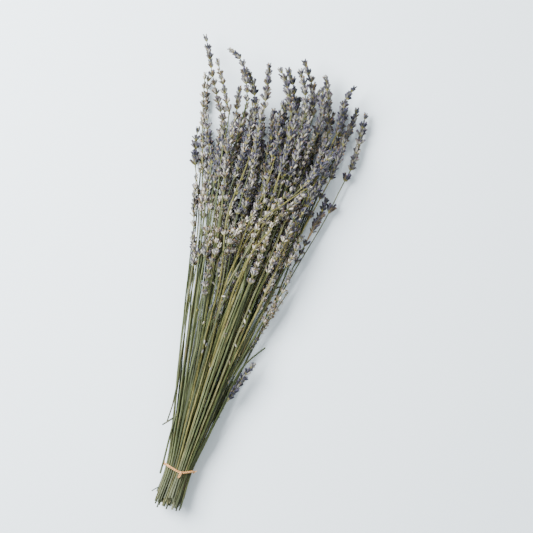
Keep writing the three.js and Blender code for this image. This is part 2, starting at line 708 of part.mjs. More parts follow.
// Turns a lower spike so that one of its florets faces the stalk it is grown against
function setTurns(stalks) {
  for (const stalk of stalks) {
    stalk.cut = between(...CUT_LENGTHS);
    stalk.turn = between(0, Math.PI / 2);
    if (!stalk.host) continue;
    const y = stalk.tip - TIP_LENGTH;
    const [a, b] = [axisAt(stalk, y), axisAt(stalk.host, y)];
    stalk.turn = Math.atan2(b.z - a.z, -(b.x - a.x));
  }
  stalks[Math.floor(stalks.length / 3)].cut = LONGEST_CUT;
}

// Sets the length of each spike's axis and how far its pointed tip reaches along y
function setLengths(stalks) {
  for (const stalk of stalks.filter((s) => !s.bare)) {
    stalk.arc = arcLength(stalk);
    const before = axisAt(stalk, stalk.tip - 1);
    const end = axisAt(stalk, stalk.tip);
    stalk.tipRise = TIP_LENGTH / Math.hypot(1, end.x - before.x, end.z - before.z);
  }
}

// The tie's line round the neck's stepped outline, as x and height over the neck's middle
function bandLine() {
  const reach = BAND_GAP + BAND_RADIUS;
  const hull = [];
  const half = PACKED_WIDTH / 2;
  for (const j of [...new Set(cells.map((c) => c.j))]) {
    const row = cells.filter((c) => c.j === j);
    const x = Math.max(...row.map((c) => c.x)) + half;
    hull.push([x, row[0].z + (row[0].z > 0 ? half : -half)]);
  }
  const right = hull.filter(([x, z]) => hull.every(([x2, z2]) =>
    !(x2 > x && Math.abs(z2) >= Math.abs(z) && z2 * z > 0)));
  const corners = [...right, ...[...right].reverse().map(([x, z]) => [-x, z])];
  const points = [];
  corners.forEach(([x, z], k) => {
    const [px, pz] = corners[(k + corners.length - 1) % corners.length];
    const [nx, nz] = corners[(k + 1) % corners.length];
    const before = Math.atan2(z - pz, x - px) - Math.PI / 2;
    let after = Math.atan2(nz - z, nx - x) - Math.PI / 2;
    while (after < before) after += 2 * Math.PI;
    for (const share of [0, 1]) {
      const angle = mix(before, after, share);
      points.push([x + reach * Math.cos(angle), z + reach * Math.sin(angle)]);
    }
  });
  return points;
}

// The tie: a closed cord on that line, dipping in the middle of its upper side
function bandMesh() {
  const mesh = newMesh();
  const line = bandLine();
  const rings = line.map(([x, z], k) => {
    const [px, pz] = line[(k + line.length - 1) % line.length];
    const [nx, nz] = line[(k + 1) % line.length];
    const before = Math.atan2(z - pz, x - px);
    let after = Math.atan2(nz - z, nx - x);
    if (after < before) after += 2 * Math.PI;
    const half = (after - before) / 2;
    const outward = before + half - Math.PI / 2;
    const stretch = 1 / Math.cos(half);
    const dip = z > 0 ? Math.min(1, z / BAND_DIP_HEIGHT) : 0;
    const y = dip * (Math.abs(x - CROSSING_X) * BAND_RISE - BAND_DIP);
    return Array.from({ length: BAND_SIDES }, (_, s) => {
      const angle = ((s + 0.5) * 2 * Math.PI) / BAND_SIDES;
      const radius = BAND_RADIUS / Math.cos(Math.PI / BAND_SIDES);
      const out = radius * Math.cos(angle) * stretch;
      return addCorner(mesh, [x + out * Math.cos(outward), y + radius * Math.sin(angle),
        z + out * Math.sin(outward) + NECK_CENTRE]);
    });
  });
  rings.forEach((ring, k) => joinRings(mesh, ring, rings[(k + 1) % rings.length]));
  return mesh;
}

// The small loop that hangs from the tie's crossing, along the stems
function loopGeometry() {
  const top = NECK_CENTRE + Math.max(...cells.map((c) => c.z)) + PACKED_WIDTH / 2;
  const z = top + BAND_GAP + BAND_RADIUS;
  const [inner, outer] = [LOOP_HALF_WIDTH * 0.9, LOOP_HALF_WIDTH];
  const at = (x, y, lift) => new THREE.Vector3(CROSSING_X + x, y, z + lift);
  const route = new THREE.CatmullRomCurve3([
    at(-outer, LOOP_START, 0.1),
    at(-inner, LOOP_SHOULDER, LOOP_LIFT),
    at(0, -BAND_DIP - LOOP_LENGTH, LOOP_LIFT + 0.2),
    at(inner, LOOP_SHOULDER, LOOP_LIFT),
    at(outer, LOOP_START, 0.1),
  ]);
  const outline = new THREE.Shape(Array.from({ length: LOOP_SIDES }, (_, k) => {
    const angle = (k * 2 * Math.PI) / LOOP_SIDES;
    return new THREE.Vector2(LOOP_RADIUS * Math.cos(angle), LOOP_RADIUS * Math.sin(angle));
  }));
  const settings = { steps: LOOP_STEPS, bevelEnabled: false, extrudePath: route };
  const geometry = new THREE.ExtrudeGeometry(outline, settings);
  geometry.deleteAttribute("normal");
  geometry.deleteAttribute("uv");
  return mergeVertices(geometry, MERGE);
}

function bandGeometry() {
  const ring = solidOf(geometryOf(bandMesh()));
  return geometryOfSolid(ring.add(solidOf(loopGeometry())));
}

function addPart(group, name, geometry, colour) {
  const material = new THREE.MeshStandardMaterial({ color: colour, roughness: 0.9, metalness: 0 });
  const mesh = new THREE.Mesh(geometry, material);
  mesh.name = name;
  group.add(mesh);
}

function buildBunch() {
  const group = new THREE.Group();
  const stalks = makeStalks();
  relax(stalks);
  setLengths(stalks);
  setTurns(stalks);
  addPart(group, "stems", stemsGeometry(stalks), STEM_COLOUR);
  addPart(group, "tie_band", bandGeometry(), TIE_COLOUR);
  let number = 0;
  for (const stalk of stalks.filter((s) => !s.host && !s.bare)) {
    number += 1;
    const label = String(number).padStart(2, "0");
    const own = solidOf(geometryOf(spikeMesh(stalk)));
    const made = stalk.mate ? own.add(solidOf(geometryOf(spikeMesh(stalk.mate)))) : own;
    const name = (stalk.mate ? "flower_spikes_" : "flower_spike_") + label;
    addPart(group, name, geometryOfSolid(made), SPIKE_COLOURS[number % SPIKE_COLOURS.length]);
  }
  group.updateMatrixWorld(true);
  const box = new THREE.Box3().setFromObject(group);
  const middle = box.getCenter(new THREE.Vector3());
  group.children.forEach((mesh) => mesh.geometry.translate(-middle.x, -middle.y, -box.min.z));
  return group;
}

export default buildBunch();
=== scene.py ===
"""A bunch of dried lavender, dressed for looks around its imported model.

The frame gives every stalk: the line of its stem, the rings that its flower spike's whorls
stand on, and the tie. Each plain node is replaced by a finer piece on the same lines. Lengths
are in metres, written as millimetres times MM.
"""

from __future__ import annotations

import json
import logging
import math
from collections.abc import Callable, Iterator
from contextlib import contextmanager
from dataclasses import dataclass, field
from enum import Enum
from itertools import combinations

import bmesh
import bpy
import numpy as np
from mathutils import Matrix, Vector

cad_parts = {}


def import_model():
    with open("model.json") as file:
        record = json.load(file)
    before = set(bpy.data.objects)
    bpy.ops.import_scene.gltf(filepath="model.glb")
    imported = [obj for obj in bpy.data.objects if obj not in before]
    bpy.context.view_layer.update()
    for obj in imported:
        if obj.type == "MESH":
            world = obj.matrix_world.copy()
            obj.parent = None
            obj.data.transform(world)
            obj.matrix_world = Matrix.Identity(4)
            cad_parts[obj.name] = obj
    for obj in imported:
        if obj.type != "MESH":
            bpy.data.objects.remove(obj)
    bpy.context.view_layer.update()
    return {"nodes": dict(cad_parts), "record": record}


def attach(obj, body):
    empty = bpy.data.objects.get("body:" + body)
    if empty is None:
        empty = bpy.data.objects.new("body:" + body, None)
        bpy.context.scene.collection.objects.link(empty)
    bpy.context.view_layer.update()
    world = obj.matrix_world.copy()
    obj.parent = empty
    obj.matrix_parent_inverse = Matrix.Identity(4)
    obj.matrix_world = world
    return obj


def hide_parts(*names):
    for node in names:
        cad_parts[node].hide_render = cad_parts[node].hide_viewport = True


log = logging.getLogger("lavender")

MM = 0.001
BODY = "root"
SEED = 11
ROD_CREASE = 50
ROD_TURN = (0, 1.5)
GRAIN_REACH = 0.1

# A place is also a way or a size along x, y and z. A spot is a pixel or a place seen from
# above. A pair is the least and the most, or a mean and its spread, unless its name or a
# docstring says otherwise.
Piece = bpy.types.Object
Socket = bpy.types.NodeSocket
Dice = np.random.Generator
Colour = tuple[float, float, float, float]
Place = tuple[float, float, float]
Spot = tuple[float, float]
Pair = tuple[float, float]
Values = tuple[float, ...]
Test = Callable[[Vector], bool]


def colour(red: int, green: int, blue: int) -> Colour:
    """Turns a screen colour into the linear colour that a shader takes.

    Args:
        red: Its red, from 0 to 255.
        green: Its green.
        blue: Its blue.

    Returns:
        The three shares of light, from 0 to 1, and a full cover of 1.
    """
    shares = (c / 255 for c in (red, green, blue))
    linear = [s / 12.92 if s <= 0.04045 else ((s + 0.055) / 1.055) ** 2.4 for s in shares]
    return (*linear, 1.0)


def alone(piece: Piece) -> None:
    """Makes a piece the only selected object, and the active one.

    Args:
        piece: The piece.
    """
    bpy.ops.object.select_all(action="DESELECT")
    piece.select_set(True)
    bpy.context.view_layer.objects.active = piece


def named(name: str) -> Piece:
    """Gives the active object a name.

    Args:
        name: The name.

    Returns:
        The object.
    """
    piece = bpy.context.active_object
    piece.name = name
    return piece


def primitive(name: str, add: Callable[..., set[str]], **sizes: object) -> Piece:
    """Adds a primitive while nothing else is selected.

    Args:
        name: The new object's name.
        add: The operator that adds it.
        sizes: The operator's own values.

    Returns:
        The new object, with its place and turn applied to its mesh.
    """
    bpy.ops.object.select_all(action="DESELECT")
    add(**sizes)
    bpy.ops.object.transform_apply()
    return named(name)


def turned(angle: float, axis: str) -> Matrix:
    """A turn about an axis, by an angle in radians."""
    return Matrix.Rotation(angle, 4, axis)


def moved(*way: float) -> Matrix:
    """A move along x, y and z."""
    return Matrix.Translation(way)


def scaled(size: float) -> Matrix:
    """A change of size."""
    return Matrix.Scale(size, 4)


def push(x: float, y: float, z: float) -> None:
    """Moves what is selected in edit mode."""
    bpy.ops.transform.translate(value=(x, y, z))


def stretch(x: float, y: float, z: float, height: float = 0.0) -> None:
    """Stretches what is selected in edit mode, about the point at that height on the Z axis."""
    bpy.ops.transform.resize(value=(x, y, z), center_override=(0, 0, height))


@contextmanager
def editing(piece: Piece) -> Iterator[None]:
    """Opens a piece in edit mode with nothing selected, and closes it afterwards.

    Args:
        piece: The mesh object to edit.

    Yields:
        Nothing: the piece is open meanwhile.
    """
    alone(piece)
    bpy.ops.object.mode_set(mode="EDIT")
    bpy.ops.mesh.select_all(action="DESELECT")
    yield
    bpy.ops.object.mode_set(mode="OBJECT")


def pick(piece: Piece, test: Test) -> None:
    """Selects the vertices of a piece in edit mode by their place.

    Args:
        piece: The mesh object, open in edit mode.
        test: Says of a vertex's place whether it is selected.
    """
    bpy.ops.mesh.select_mode(type="VERT")
    bpy.ops.mesh.select_all(action="DESELECT")
    shape = bmesh.from_edit_mesh(piece.data)
    for vertex in shape.verts:
        vertex.select_set(bool(test(vertex.co)))
    shape.select_flush(True)
    bmesh.update_edit_mesh(piece.data)


def places_of(mesh: bpy.types.Mesh) -> np.ndarray:
    """Reads the places of a mesh's vertices.

    Args:
        mesh: The mesh.

    Returns:
        The places, one row each.
    """
    flat = np.empty(len(mesh.vertices) * 3)
    mesh.vertices.foreach_get("co", flat)
    return flat.reshape(-1, 3)


def put_places(mesh: bpy.types.Mesh, places: np.ndarray) -> None:
    """Moves a mesh's vertices to the given places."""
    mesh.vertices.foreach_set("co", np.ascontiguousarray(places, dtype=float).ravel())
    mesh.update()


def mark(mesh: bpy.types.Mesh, name: str, values: np.ndarray | float) -> None:
    """Writes a number for each vertex, which the finishes read by its name.

    Args:
        mesh: The mesh that is marked.
        name: The attribute's name.
        values: One value for each vertex, or one for them all.
    """
    layer = mesh.attributes.get(name) or mesh.attributes.new(name, "FLOAT", "POINT")
    full = np.broadcast_to(np.asarray(values, dtype=np.float32), len(mesh.vertices))
    layer.data.foreach_set("value", np.ascontiguousarray(full))


def mark_grain(mesh: bpy.types.Mesh, places: np.ndarray) -> None:
    """Writes each vertex's place on the straight rod, which the grain's pattern follows."""
    layer = mesh.attributes.get("grain") or mesh.attributes.new("grain", "FLOAT_VECTOR", "POINT")
    layer.data.foreach_set("vector", np.ascontiguousarray(places, dtype=np.float32).ravel())


def copy_of(model: Piece, name: str) -> Piece:
    """Copies a model, with a mesh of its own.

    Args:
        model: The model.
        name: The copy's name.

    Returns:
        The copy, which stands in the scene.
    """
    copy = bpy.data.objects.new(name, model.data.copy())
    bpy.context.scene.collection.objects.link(copy)
    return copy


def join(pieces: list[Piece], name: str) -> Piece:
    """Joins pieces into one object.

    Args:
        pieces: The objects to join; they all end in the first.
        name: The name of the joined object.

    Returns:
        The joined object.
    """
    alone(pieces[0])
    for piece in pieces[1:]:
        piece.select_set(True)
    if len(pieces) > 1:
        bpy.ops.object.join()
    return named(name)


def shelve(model: Piece) -> Piece:
    """Takes a model out of the scene, where only its copies are shown.

    Args:
        model: The model.

    Returns:
        The same model.
    """
    for collection in list(model.users_collection):
        collection.objects.unlink(model)
    return model


def finish_mesh(piece: Piece, crease: float) -> None:
    """Turns a piece's faces outwards and shades it smooth.

    Args:
        piece: The piece.
        crease: The angle in degrees from which an edge stays sharp.
    """
    with editing(piece):
        bpy.ops.mesh.select_all(action="SELECT")
        bpy.ops.mesh.normals_make_consistent(inside=False)
    bpy.ops.object.shade_smooth_by_angle(angle=math.radians(crease))


def on_ridge(
    across: np.ndarray | float, up: np.ndarray | float, sides: int
) -> np.ndarray | np.bool_:
    """Tells the ridges of a ribbed round from the hollows that stand between them.

    Args:
        across: The places of its corners along one way across the axis.
        up: Their places along the other way.
        sides: How many corners go round.

    Returns:
        Whether each corner is on a ridge.
    """
    number = np.round(np.arctan2(up, across) * sides / (2 * math.pi))
    return number % 2 == 0


class Line:
    """A line through points, with a frame that never turns about it."""

    FRAME_REACH = 0.5 * MM
    WINDOW = 9
    MIDDLE_WEIGHT = 1.2
    WAVES = ((90 * MM, 0.65), (35 * MM, 0.35))
    CALM_PARTS = 8

    def __init__(self, points: np.ndarray, reference: Place = (0.0, 0.0, 1.0)) -> None:
        """Measures the line.

        Args:
            points: Its points, one row each.
            reference: A direction that the line never runs along.
        """
        self.points = np.asarray(points, dtype=float)
        steps = np.linalg.norm(np.diff(self.points, axis=0), axis=1)
        self.distances = np.concatenate([[0.0], np.cumsum(steps)])
        self.reference = np.array(reference)

    @property
    def length(self) -> float:
        """The line's length."""
        return float(self.distances[-1])

    def at(self, distance: np.ndarray | float) -> np.ndarray:
        """Finds places along the line, which runs straight on past its ends.

        Args:
            distance: Distances along the line.

        Returns:
            The places, one row each.
        """
        distance = np.atleast_1d(np.asarray(distance, dtype=float))
        places = np.column_stack([np.interp(distance, self.distances, c) for c in self.points.T])
        for end, beside, past in (
            (0, 1, np.minimum(distance, 0)), (-1, -2, np.maximum(distance - self.length, 0))
        ):
            way = self.points[end] - self.points[beside]
            places += np.abs(past)[:, None] * way / np.linalg.norm(way)
        return places

    def frames(self, distance: np.ndarray | float) -> tuple[np.ndarray, ...]:
        """Finds places along the line with their directions.

        Args:
            distance: Distances along the line.

        Returns:
            The places, the line's direction there, the way to its side and the way up.
        """
        along = self.at(distance + self.FRAME_REACH) - self.at(distance - self.FRAME_REACH)
        along /= np.linalg.norm(along, axis=1)[:, None]
        side = np.cross(along, self.reference)
        side /= np.linalg.norm(side, axis=1)[:, None]
        return self.at(distance), along, side, np.cross(side, along)

    def stand(self, distance: float) -> Matrix:
        """Finds how a model on +Z is set to grow along the line.

        Args:
            distance: How far along the line its foot stands.

        Returns:
            Its placement.
        """
        place, way, _, _ = self.frames(distance)
        return moved(*place[0]) @ Vector(way[0]).to_track_quat("Z", "Y").to_matrix().to_4x4()

    def nearest(self, spot: np.ndarray) -> tuple[float, int]:
        """Finds the line's point that is closest to a spot, seen from above.

        Args:
            spot: The spot's x and y.

        Returns:
            How far away the point is, and its number.
        """
        ways = np.linalg.norm(self.points[:, :2] - spot, axis=1)
        number = int(np.argmin(ways))
        return float(ways[number]), number

    def softened(self, reach: float, step: float = 3 * MM) -> "Line":
        """Rounds the line's corners off.

        Args:
            reach: How far each way from a corner the rounding starts.
            step: The distance between the new line's points.

        Returns:
            The rounded line, with the same ends.
        """
        count = max(2, round(self.length / step))
        spots = np.linspace(0, self.length, count + 1)
        window = np.linspace(-reach, reach, self.WINDOW)
        weights = self.MIDDLE_WEIGHT - np.abs(window) / reach
        near = self.at((spots[:, None] + window).ravel()).reshape(count + 1, self.WINDOW, 3)
        soft = np.tensordot(near, weights / weights.sum(), axes=([1], [0]))
        return Line(soft, tuple(self.reference))

    def wavy(self, size: float, dice: Dice) -> "Line":
        """Adds slow, slight waves across the line, with still ends.

        Args:
            size: How far they reach aside.
            dice: The source of their lengths and starts.

        Returns:
            The wavy line.
        """
        share = self.distances / self.length
        calm = np.minimum(1, self.CALM_PARTS * np.minimum(share, 1 - share))
        points = self.points.copy()
        for axis in (0, 2):
            for shortest, part in self.WAVES:
                length = dice.uniform(1, 2) * shortest
                turn = 2 * math.pi * (self.distances / length + dice.uniform())
                points[:, axis] += size * part * np.sin(turn) * calm
        return Line(points, tuple(self.reference))


def bend(
    piece: Piece,
    line: Line,
    widths: Values,
    stops: Values = (0, 1),
    turn: float = 0.0,
    twist: float = 0.0,
    grain: np.ndarray | float = 0.0,
) -> None:
    """Lays a straight model, one unit long on +Y, along a line.

    Args:
        piece: The model's copy, whose vertices are moved.
        line: The line that its axis comes to lie on.
        widths: Its half widths at the stops.
        stops: Shares of the way along.
        turn: Its turn about the line, in radians.
        twist: How much further its far end is turned.
        grain: Where its own grain starts in the pattern that all share.
    """
    places = places_of(piece.data)
    share = places[:, 1]
    centre, _, side, up = line.frames(share * line.length)
    wide, angle = np.interp(share, stops, widths), turn + twist * share
    across = (places[:, 0] * np.cos(angle) - places[:, 2] * np.sin(angle)) * wide
    high = (places[:, 0] * np.sin(angle) + places[:, 2] * np.cos(angle)) * wide
    rod = np.column_stack([places[:, 0] * wide, share * line.length, places[:, 2] * wide])
    put_places(piece.data, centre + side * across[:, None] + up * high[:, None])
    mark(piece.data, "along", share)
    mark_grain(piece.data, rod + grain)


def straight_model(name: str, sides: int, steps: int, groove: float) -> Piece:
    """Models a straight rod of unit radius from y 0 to y 1, grooved along its sides.

    Args:
        name: The model's name.
        sides: Corners round the rod, an even number.
        steps: Lengths that it is divided into.
        groove: Radius of every other corner, as a share of the others'.

    Returns:
        The rod.
    """
    rod = primitive(
        name, bpy.ops.mesh.primitive_circle_add,
        vertices=sides, radius=1, fill_type="NGON", rotation=(math.pi / 2, 0, 0),
    )
    with editing(rod):
        bpy.ops.mesh.select_all(action="SELECT")
        bpy.ops.mesh.extrude_repeat(steps=steps, offset=(0, 1, 0), scale_offset=1 / steps)
    places = places_of(rod.data)
    radii = np.where(on_ridge(places[:, 0], places[:, 2], sides), 1.0, groove)
    places[:, (0, 2)] *= radii[:, None]
    put_places(rod.data, places)
    finish_mesh(rod, ROD_CREASE)
    return rod


def lay_rod(
    rod: Piece,
    name: str,
    line: Line,
    widths: Values,
    paleness: float,
    dice: Dice,
    **shape: object,
) -> Piece:
    """Lays a copy of a rod along a line, with a grain of its own.

    Args:
        rod: The rod's model.
        name: The copy's name.
        line: The line.
        widths: Its half widths.
        paleness: Its colour, from olive to straw.
        dice: The source of its grain's start.
        shape: The stops of its widths, its turn and its twist, as bend takes them.

    Returns:
        The copy.
    """
    piece = copy_of(rod, name)
    bend(piece, line, widths, grain=dice.uniform(0, GRAIN_REACH, 3), **shape)
    mark(piece.data, "tint", paleness)
    return piece


@dataclass
class Stalk:
    """One grown stalk of the frame: its stem's line and, on its end, its spike's.

    The rings are the places of the spike's whorls. The shift is added to the tint, dryness
    and fullness that its place in the photo gives. Its stem's paleness runs from 0, olive,
    to 1, straw, and its girth is the size of its whorls.
    """

    stem: np.ndarray
    node: str | None = None
    rings: np.ndarray | None = None
    shift: Values = (0.0, 0.0, 0.0)
    fullness: float = 0.7
    paleness: float = 0.5
    girth: float = 1.0
    foot_gap: float = 11 * MM

    @property
    def footed(self) -> bool:
        """Whether the spike's first ring is a foot on bare stem."""
        return self.rings[1][1] - self.rings[0][1] > self.foot_gap

    @property
    def flowering(self) -> np.ndarray:
        """The rings that the spike's whorls stand on."""
        return self.rings[1:] if self.footed else self.rings


@dataclass
class FrameReader:
    """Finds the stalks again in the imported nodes.

    A stem is a chain of square rings, and so is a spike's axis, whose rings have florets
    between them. Both are found by merging a node's triangles and following its corners.
    """

    nodes: dict[str, Piece]
    merge: float = 0.002 * MM
    level_digits: int = 5
    ring_link: float = 2.2 * MM
    ring_radii: Pair = (0.8 * MM, 1.6 * MM)
    evenness: float = 0.02 * MM
    most_corners: int = 8
    neck_corners: int = 60
    neck_reach: float = 0.1 * MM
    neck_low: float = 0.0
    neck_high: float = 0.0

    def merged(self, name: str) -> tuple[np.ndarray, np.ndarray]:
        """Merges the corners that a node's triangles share.

        Args:
            name: The node's name.

        Returns:
            The places of its corners, and its triangles as numbers of corners.
        """
        mesh = self.nodes[name].data
        mesh.calc_loop_triangles()
        triangles = np.empty(len(mesh.loop_triangles) * 3, dtype=int)
        mesh.loop_triangles.foreach_get("vertices", triangles)
        places = places_of(mesh)
        grid = np.round(places / self.merge).astype(np.int64)
        _, first, number = np.unique(grid, axis=0, return_index=True, return_inverse=True)
        return places[first], number.ravel()[triangles].reshape(-1, 3)

    @staticmethod
    def labels(count: int, links: np.ndarray) -> np.ndarray:
        """Numbers groups of linked things.

        Args:
            count: How many things there are.
            links: Pairs of them that belong together, one row each.

        Returns:
            The group of each thing, named by the group's first thing.
        """
        group, before = np.arange(count), None
        while not np.array_equal(group, before):
            before = group.copy()
            lowest = group[links].min(axis=1)
            for end in links.T:
                np.minimum.at(group, end, lowest)
            group = group[group]
        return group

    @staticmethod
    def edges(triangles: np.ndarray) -> np.ndarray:
        """The sides of triangles as pairs of corners."""
        return np.vstack([triangles[:, [0, 1]], triangles[:, [1, 2]], triangles[:, [2, 0]]])

    def stems(self) -> list[Stalk]:
        """Follows each stem from its cut end through the neck to its top.

        Returns:
            One stalk for each stem, still without its spike.
        """
        places, triangles = self.merged("stems")
        heights = places[:, 1]
        levels, counts = np.unique(np.round(heights, self.level_digits), return_counts=True)
        self.neck_low, self.neck_high = levels[counts > self.neck_corners][:2]
        above = self._branches(places, triangles, heights > self.neck_high + self.neck_reach)
        below = self._branches(places, triangles, heights < self.neck_low - self.neck_reach)
        stalks = []
        for cell, rings in sorted(above.items()):
            ends = min(below, key=lambda other: math.dist(other, cell))
            neck = [[cell[0], y, cell[1]] for y in (self.neck_low, self.neck_high)]
            stalks.append(Stalk(stem=np.vstack([below[ends], neck, rings])))
        return stalks

    def _branches(
        self, places: np.ndarray, triangles: np.ndarray, free: np.ndarray
    ) -> dict[Spot, np.ndarray]:
        """Splits the corners on one side of the neck into stems.

        Args:
            places: The corners of the node.
            triangles: Its triangles.
            free: Whether a corner is outside the neck on the side asked for.

        Returns:
            The middles of each stem's rings, by the x and z of its place in the neck.
        """
        edges = self.edges(triangles)
        group = self.labels(len(places), edges[free[edges].all(axis=1)])
        found = {}
        mixed = triangles[free[triangles].any(axis=1) & ~free[triangles].all(axis=1)]
        for label in np.unique(group[free]):
            own = free & (group == label)
            touching = mixed[own[mixed].any(axis=1)].ravel()
            seat = places[np.unique(touching[~free[touching]])].mean(axis=0)
            corners = places[own]
            levels = np.round(corners[:, 1], self.level_digits)
            rings = [corners[levels == level].mean(axis=0) for level in np.unique(levels)]
            found[(float(seat[0]), float(seat[2]))] = np.array(rings)
        return found

    def square_in(self, numbers: np.ndarray, places: np.ndarray) -> np.ndarray | None:
        """Looks for a ring in a group of corners.

        Args:
            numbers: The numbers of the group's corners.
            places: The places of all corners.

        Returns:
            The numbers of the four that stand in a square, or None without them.
        """
        low, high = self.ring_radii
        for four in combinations(numbers, 4) if len(numbers) <= self.most_corners else ():
            corners = places[list(four)]
            radii = np.linalg.norm(corners - corners.mean(axis=0), axis=1)
            if low < radii.min() and radii.max() < min(high, radii.min() + self.evenness):
                return np.array(four)
        return None

    def spikes(self, name: str) -> list[np.ndarray]:
        """Finds the spikes of a node.

        Args:
            name: The node's name.

        Returns:
            For each spike the middles of its axis' rings, from its foot to its top whorl.
        """
        places, triangles = self.merged(name)
        apart = np.linalg.norm(places[:, None] - places[None], axis=2)
        group = self.labels(len(places), np.argwhere(apart < self.ring_link))
        squares = [self.square_in(np.flatnonzero(group == g), places) for g in np.unique(group)]
        squares = [four for four in squares if four is not None]
        ring_of = np.full(len(places), -1)
        for number, four in enumerate(squares):
            ring_of[four] = number
        ends = ring_of[self.edges(triangles)]
        links = ends[(ends >= 0).all(axis=1) & (ends[:, 0] != ends[:, 1])]
        chain = self.labels(len(squares), links)
        middles = np.array([places[four].mean(axis=0) for four in squares])
        found = [middles[chain == label] for label in np.unique(chain)]
        return [rings[np.argsort(rings[:, 1])] for rings in found]

    def stalks(self) -> list[Stalk]:
        """Reads all stalks and gives each its spike.

        Returns:
            The stalks of the bunch, in a fixed order.
        """
        stalks = self.stems()
        tops = np.array([stalk.stem[-1] for stalk in stalks])
        for name in sorted(n for n in self.nodes if n.startswith("flower")):
            for rings in self.spikes(name):
                number = int(np.argmin(np.linalg.norm(tops - rings[0], axis=1)))
                stalks[number].node = name
                stalks[number].rings = rings
        return stalks


class Paint:
    """Builds a finish's shader node by node."""

    MIX_FIRST, MIX_OTHER, MIX_RESULT = 6, 7, 2

    def __init__(self, name: str, roughness: float) -> None:
        """Starts a material with one surface shader.

        Args:
            name: The material's name.
            roughness: The surface's roughness.
        """
        self.material = bpy.data.materials.new(name)
        self.material.use_nodes = True
        self.tree = self.material.node_tree
        self.surface = self.tree.nodes["Principled BSDF"]
        self.give("Roughness", roughness)

    def give(self, name: str, value: float) -> None:
        """Sets one of the surface's own values."""
        self.surface.inputs[name].default_value = value

    def node(self, kind: str) -> bpy.types.Node:
        """Adds a node of a kind."""
        return self.tree.nodes.new(kind)

    def feed(self, source: Socket, target: Socket) -> None:
        """Joins an output to an input."""
        self.tree.links.new(source, target)

    def value_of(self, name: str) -> Socket:
        """Reads the numbers that were marked on the mesh.

        Args:
            name: The name that they were marked under.

        Returns:
            The numbers.
        """
        node = self.node("ShaderNodeAttribute")
        node.attribute_name = name
        return node.outputs["Fac"]

    def noise(self, size: Place, detail: float = 3.0, grain: bool = False) -> Socket:
        """Adds a cloudy pattern.

        Args:
            size: The size of its patches along x, y and z, in metres.
            detail: How many finer layers it has.
            grain: Whether it follows the rod's own grain instead of the object.

        Returns:
            Its strength, from 0 to 1.
        """
        if grain:
            place = self.node("ShaderNodeAttribute")
            place.attribute_name = "grain"
            spot = place.outputs["Vector"]
        else:
            spot = self.node("ShaderNodeTexCoord").outputs["Object"]
        scale = self.node("ShaderNodeMapping")
        scale.inputs["Scale"].default_value = tuple(1 / s for s in size)
        cloud = self.node("ShaderNodeTexNoise")
        cloud.inputs["Scale"].default_value = 1.0
        cloud.inputs["Detail"].default_value = detail
        self.feed(spot, scale.inputs["Vector"])
        self.feed(scale.outputs["Vector"], cloud.inputs["Vector"])
        return cloud.outputs["Fac"]

    def spread(
        self, source: Socket, low: float, high: float, start: float = 0.0, end: float = 1.0
    ) -> Socket:
        """Maps a stretch of values onto another, and stops at its ends.

        Args:
            source: The values.
            low: The value that gives start.
            high: The value that gives end.
            start: The result at low.
            end: The result at high.

        Returns:
            The mapped values.
        """
        node = self.node("ShaderNodeMapRange")
        self.feed(source, node.inputs["Value"])
        names = ("From Min", "From Max", "To Min", "To Max")
        for name, value in zip(names, (low, high, start, end)):
            node.inputs[name].default_value = value
        return node.outputs["Result"]

    def sum(self, first: Socket, second: Socket, weight: float) -> Socket:
        """Adds values, each less a half, to other values.

        Args:
            first: The values that are added to.
            second: The values that are added.
            weight: How much the second values count.

        Returns:
            The sums.
        """
        centred = self.spread(second, 0, 1, -0.5 * weight, 0.5 * weight)
        node = self.node("ShaderNodeMath")
        node.operation = "ADD"
        self.feed(first, node.inputs[0])
        self.feed(centred, node.inputs[1])
        return node.outputs["Value"]

    def ramp(self, source: Socket, *stops: tuple[float, Colour]) -> Socket:
        """Colours values.

        Args:
            source: The values.
            stops: Values, in rising order, each with its colour.

        Returns:
            The colours.
        """
        node = self.node("ShaderNodeValToRGB")
        self.feed(source, node.inputs["Fac"])
        elements = node.color_ramp.elements
        while len(elements) < len(stops):
            elements.new(0.5)
        for element, (value, tone) in zip(elements, stops):
            element.position = value
            element.color = tone
        return node.outputs["Color"]

    def mixed(self, share: Socket, base: Socket, other: Colour, mode: str = "MIX") -> Socket:
        """Mixes a fixed colour into others.

        Args:
            share: How much of it is mixed in.
            base: The other colours.
            other: The fixed colour.
            mode: The way of mixing.

        Returns:
            The mixed colours.
        """
        node = self.node("ShaderNodeMix")
        node.data_type = "RGBA"
        node.blend_type = mode
        self.feed(share, node.inputs[0])
        self.feed(base, node.inputs[self.MIX_FIRST])
        node.inputs[self.MIX_OTHER].default_value = other
        return node.outputs[self.MIX_RESULT]

    def bumps(self, height: Socket, depth: float, strength: float) -> None:
        """Raises the surface by a pattern.

        Args:
            height: The pattern.
            depth: How deep it reaches, in metres.
            strength: How much it shows, from 0 to 1.
        """
        node = self.node("ShaderNodeBump")
        node.inputs["Strength"].default_value = strength
        node.inputs["Distance"].default_value = depth
        self.feed(height, node.inputs["Height"])
        self.feed(node.outputs["Normal"], self.surface.inputs["Normal"])

    def done(self, tone: Socket) -> bpy.types.Material:
        """Gives the surface its colour and returns the material."""
        self.feed(tone, self.surface.inputs["Base Color"])
        return self.material


